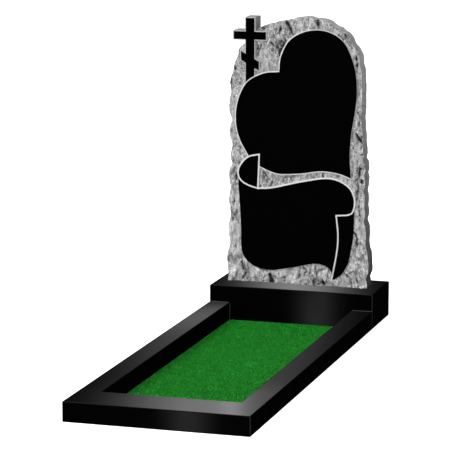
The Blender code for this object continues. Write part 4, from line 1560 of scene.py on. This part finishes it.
@dataclass(frozen=True)
class Panel:
    """An upright soft light panel that only polished faces mirror.

    Azimuths are in degrees round from +Y towards +X. The width is the azimuth in which its light
    falls to 0.6 of its middle's, and one past 180 degrees leaves the light even on the panel's whole
    side. Below and above its two elevations it fades out.
    """

    azimuth: float
    width: float
    strength: float
    low: float = -90.0
    high: float = 90.0
    fade: float = 0.25

    def light(self, tree: bpy.types.NodeTree, across: Socket, up: Socket) -> Socket:
        """Return the panel's light in each direction.

        It is strength * exp(-(sine of the angle from its middle)^2 / (2 width^2)), for directions on
        its own side.

        Args:
            tree: the surround's node tree.
            across: the direction's level part, of length 1.
            up: the sine of the direction's elevation.
        Returns:
            The socket that gives it.
        """
        turn = math.radians(self.azimuth)
        ahead = add_node(tree, "ShaderNodeVectorMath", {
            0: across, 1: (math.sin(turn), math.cos(turn), 0.0)}, operation="DOT_PRODUCT").outputs["Value"]
        aside = add_node(tree, "ShaderNodeVectorMath", {
            0: across, 1: (math.cos(turn), -math.sin(turn), 0.0)}, operation="DOT_PRODUCT").outputs["Value"]
        scaled = add_node(tree, "ShaderNodeMath", {0: aside, 1: 1 / math.radians(self.width)},
                          operation="MULTIPLY").outputs[0]
        square = add_node(tree, "ShaderNodeMath", {0: scaled, 1: scaled}, operation="MULTIPLY").outputs[0]
        halved = add_node(tree, "ShaderNodeMath", {0: square, 1: -0.5}, operation="MULTIPLY").outputs[0]
        bell = add_node(tree, "ShaderNodeMath", {0: halved}, operation="EXPONENT").outputs[0]
        side = add_node(tree, "ShaderNodeMath", {0: ahead, 1: 0.0}, operation="GREATER_THAN").outputs[0]
        result = add_node(tree, "ShaderNodeMath", {0: bell, 1: side}, operation="MULTIPLY").outputs[0]
        for edge, first, last in ((self.low, 0.0, 1.0), (self.high, 1.0, 0.0)):
            if abs(edge) < 90.0:
                gate = add_node(tree, "ShaderNodeMapRange", {
                    "Value": up, "From Min": math.sin(math.radians(edge - self.fade)),
                    "From Max": math.sin(math.radians(edge + self.fade)), "To Min": first,
                    "To Max": last}, interpolation_type="SMOOTHSTEP").outputs["Result"]
                result = add_node(tree, "ShaderNodeMath", {0: result, 1: gate},
                                  operation="MULTIPLY").outputs[0]
        return add_node(tree, "ShaderNodeMath", {0: result, 1: self.strength},
                        operation="MULTIPLY").outputs[0]


@dataclass
class Studio:
    """A plain pale floor, soft light from the front left, and a dark surround with upright soft panels.

    The first eight panels give the glints on the stand's and the kerb's faces, the next eight stand
    round the set for the other sides, and the last two are a ceiling.
    """

    floor_size: float = 60.0
    floor_colour: str = "f4f4f4"
    floor_lift: float = 0.75
    sun_strength: float = 1.7
    sun_azimuth: float = -30.0
    sun_elevation: float = 42.0
    sun_softness: float = 24.0
    fill_strength: float = 0.5
    fill_elevation: float = 35.0
    sun_gloss: float = 0.4
    surround: float = 0.42
    gloss_floor: float = 0.002
    panels: tuple[Panel, ...] = (
        Panel(-17.64, 1.12, 0.212, 12.42, 40.0, 0.1), Panel(-17.64, 1.10, 0.458, 14.25, 40.0),
        Panel(-17.02, 0.20, 0.33, 14.3, 40.0, 0.1), Panel(-15.74, 0.77, 0.09, 12.42, 14.4, 0.1),
        Panel(-17.64, 1.14, 0.13, 12.42, 12.9, 0.15), Panel(-15.56, 0.70, 0.66, 8.0, 12.3, 0.1),
        Panel(-162.0, 0.31, 0.46, -17.0, -13.8), Panel(-164.9, 0.26, 0.50, -13.4, -12.0),
        Panel(62.0, 6.0, 0.4), Panel(152.0, 6.0, 0.4),
        Panel(34.0, 3.5, 0.5), Panel(96.0, 4.0, 0.5), Panel(124.0, 4.0, 0.5),
        Panel(-56.0, 4.0, 0.5), Panel(-92.0, 4.0, 0.5), Panel(-128.0, 4.0, 0.5),
        Panel(0.0, 400.0, 0.45, 38.0, 90.0, 21.0), Panel(180.0, 400.0, 0.45, 38.0, 90.0, 21.0),
    )

    def place(self) -> None:
        """Make the floor, the sun, its fill and the surround."""
        self.add_floor()
        self.add_sun("key_light", self.sun_strength, self.sun_azimuth, self.sun_elevation)
        soft = self.add_sun("soft_light", self.sun_strength, self.sun_azimuth, self.sun_elevation)
        soft.use_shadow = False
        self.add_sun("fill_light", self.fill_strength, self.sun_azimuth + 180.0, self.fill_elevation)
        self.add_surround()
        bpy.context.scene.view_settings.view_transform = "Standard"

    def add_floor(self) -> None:
        """Make the floor: matte, and lifted for the eye alone until its soft shadows are nearly white."""
        half = self.floor_size / 2
        corners = [(-half, -half, 0), (half, -half, 0), (half, half, 0), (-half, half, 0)]
        mesh = bpy.data.meshes.new("floor")
        mesh.from_pydata(corners, [], [(0, 1, 2, 3)])
        floor = bpy.data.objects.new("floor", mesh)
        bpy.context.scene.collection.objects.link(floor)
        floor.location.z = -0.2 * MM
        floor.visible_glossy = False
        material, tree = start_material("pale_floor")
        matte = add_node(tree, "ShaderNodeBsdfDiffuse", {"Color": linear(self.floor_colour)})
        seen = add_node(tree, "ShaderNodeLightPath").outputs["Is Camera Ray"]
        lift = add_node(tree, "ShaderNodeMath", {0: seen, 1: self.floor_lift}, operation="MULTIPLY")
        glow = add_node(tree, "ShaderNodeEmission", {"Color": (1, 1, 1, 1), "Strength": lift.outputs[0]})
        both = add_node(tree, "ShaderNodeAddShader", {0: matte.outputs[0], 1: glow.outputs[0]})
        add_node(tree, "ShaderNodeOutputMaterial", {"Surface": both.outputs[0]})
        mesh.materials.append(material)

    def add_sun(self, name: str, strength: float, azimuth: float, elevation: float) -> bpy.types.Light:
        """Add one soft sun.

        Args:
            name: the light's name.
            strength: its power.
            azimuth: where it stands, in degrees round from -Y towards +X.
            elevation: degrees above the ground.
        Returns:
            The light.
        """
        light = bpy.data.lights.new(name, "SUN")
        light.energy = strength
        light.angle = math.radians(self.sun_softness)
        light.specular_factor = self.sun_gloss
        holder = bpy.data.objects.new(name, light)
        bpy.context.scene.collection.objects.link(holder)
        holder.rotation_euler = direction(azimuth, elevation).to_track_quat("Z", "Y").to_euler()
        return light

    def add_surround(self) -> None:
        """Make the surround: white to the eye, grey as light, and dark with soft panels in gloss."""
        world = bpy.data.worlds.new("studio_surround")
        world.use_nodes = True
        tree = world.node_tree
        tree.nodes.clear()
        where = add_node(tree, "ShaderNodeTexCoord").outputs["Generated"]
        split = add_node(tree, "ShaderNodeSeparateXYZ", {0: where})
        level = add_node(tree, "ShaderNodeCombineXYZ", {
            "X": split.outputs["X"], "Y": split.outputs["Y"]}).outputs[0]
        across = add_node(tree, "ShaderNodeVectorMath", {0: level}, operation="NORMALIZE").outputs[0]
        total = add_node(tree, "ShaderNodeValue").outputs[0]
        total.default_value = self.gloss_floor
        for panel in self.panels:
            light = panel.light(tree, across, split.outputs["Z"])
            total = add_node(tree, "ShaderNodeMath", {0: total, 1: light}, operation="ADD").outputs[0]
        path = add_node(tree, "ShaderNodeLightPath")
        soft = add_node(tree, "ShaderNodeBackground", {"Color": (1, 1, 1, 1), "Strength": self.surround})
        gloss = add_node(tree, "ShaderNodeBackground", {"Color": (1, 1, 1, 1), "Strength": total})
        white = add_node(tree, "ShaderNodeBackground", {"Color": (1, 1, 1, 1), "Strength": 1.0})
        lit = add_node(tree, "ShaderNodeMixShader", {
            0: path.outputs["Is Glossy Ray"], 1: soft.outputs[0], 2: gloss.outputs[0]})
        seen = add_node(tree, "ShaderNodeMixShader", {
            0: path.outputs["Is Camera Ray"], 1: lit.outputs[0], 2: white.outputs[0]})
        add_node(tree, "ShaderNodeOutputWorld", {"Surface": seen.outputs[0]})
        bpy.context.scene.world = world


@dataclass(frozen=True)
class Viewpoint:
    """The photograph's viewing angle, as a long lens far off to the right and a little above."""

    azimuth: float = 17.16
    elevation: float = 10.65
    distance: float = 9.312
    lens: float = 209.3
    sensor: float = 36.0
    target: tuple[float, float, float] = (-0.2425, 0.625, 0.3456)

    def place(self) -> None:
        """Make the camera and aim it at the target."""
        towards = direction(self.azimuth, self.elevation)
        camera = bpy.data.cameras.new("camera")
        camera.lens = self.lens
        camera.sensor_width = self.sensor
        camera.clip_end = 200.0
        holder = bpy.data.objects.new("camera", camera)
        bpy.context.scene.collection.objects.link(holder)
        holder.location = Vector(self.target) + towards * self.distance
        holder.rotation_euler = towards.to_track_quat("Z", "Y").to_euler()
        bpy.context.scene.camera = holder


def main() -> None:
    """Build every piece in order, then the studio and the camera."""
    logging.basicConfig(level=logging.INFO, format="%(name)s: %(message)s")
    Viewpoint().place()
    Headstone().place()
    PolishedBlocks().dress()
    KerbJoints().place()
    TurfBed().place()
    Studio().place()
    # The photograph's polished faces mirror none of the pieces, only the soft panels.
    for piece in bpy.context.scene.objects:
        if piece.type == "MESH":
            piece.visible_glossy = False


if __name__ == "__main__":
    main()
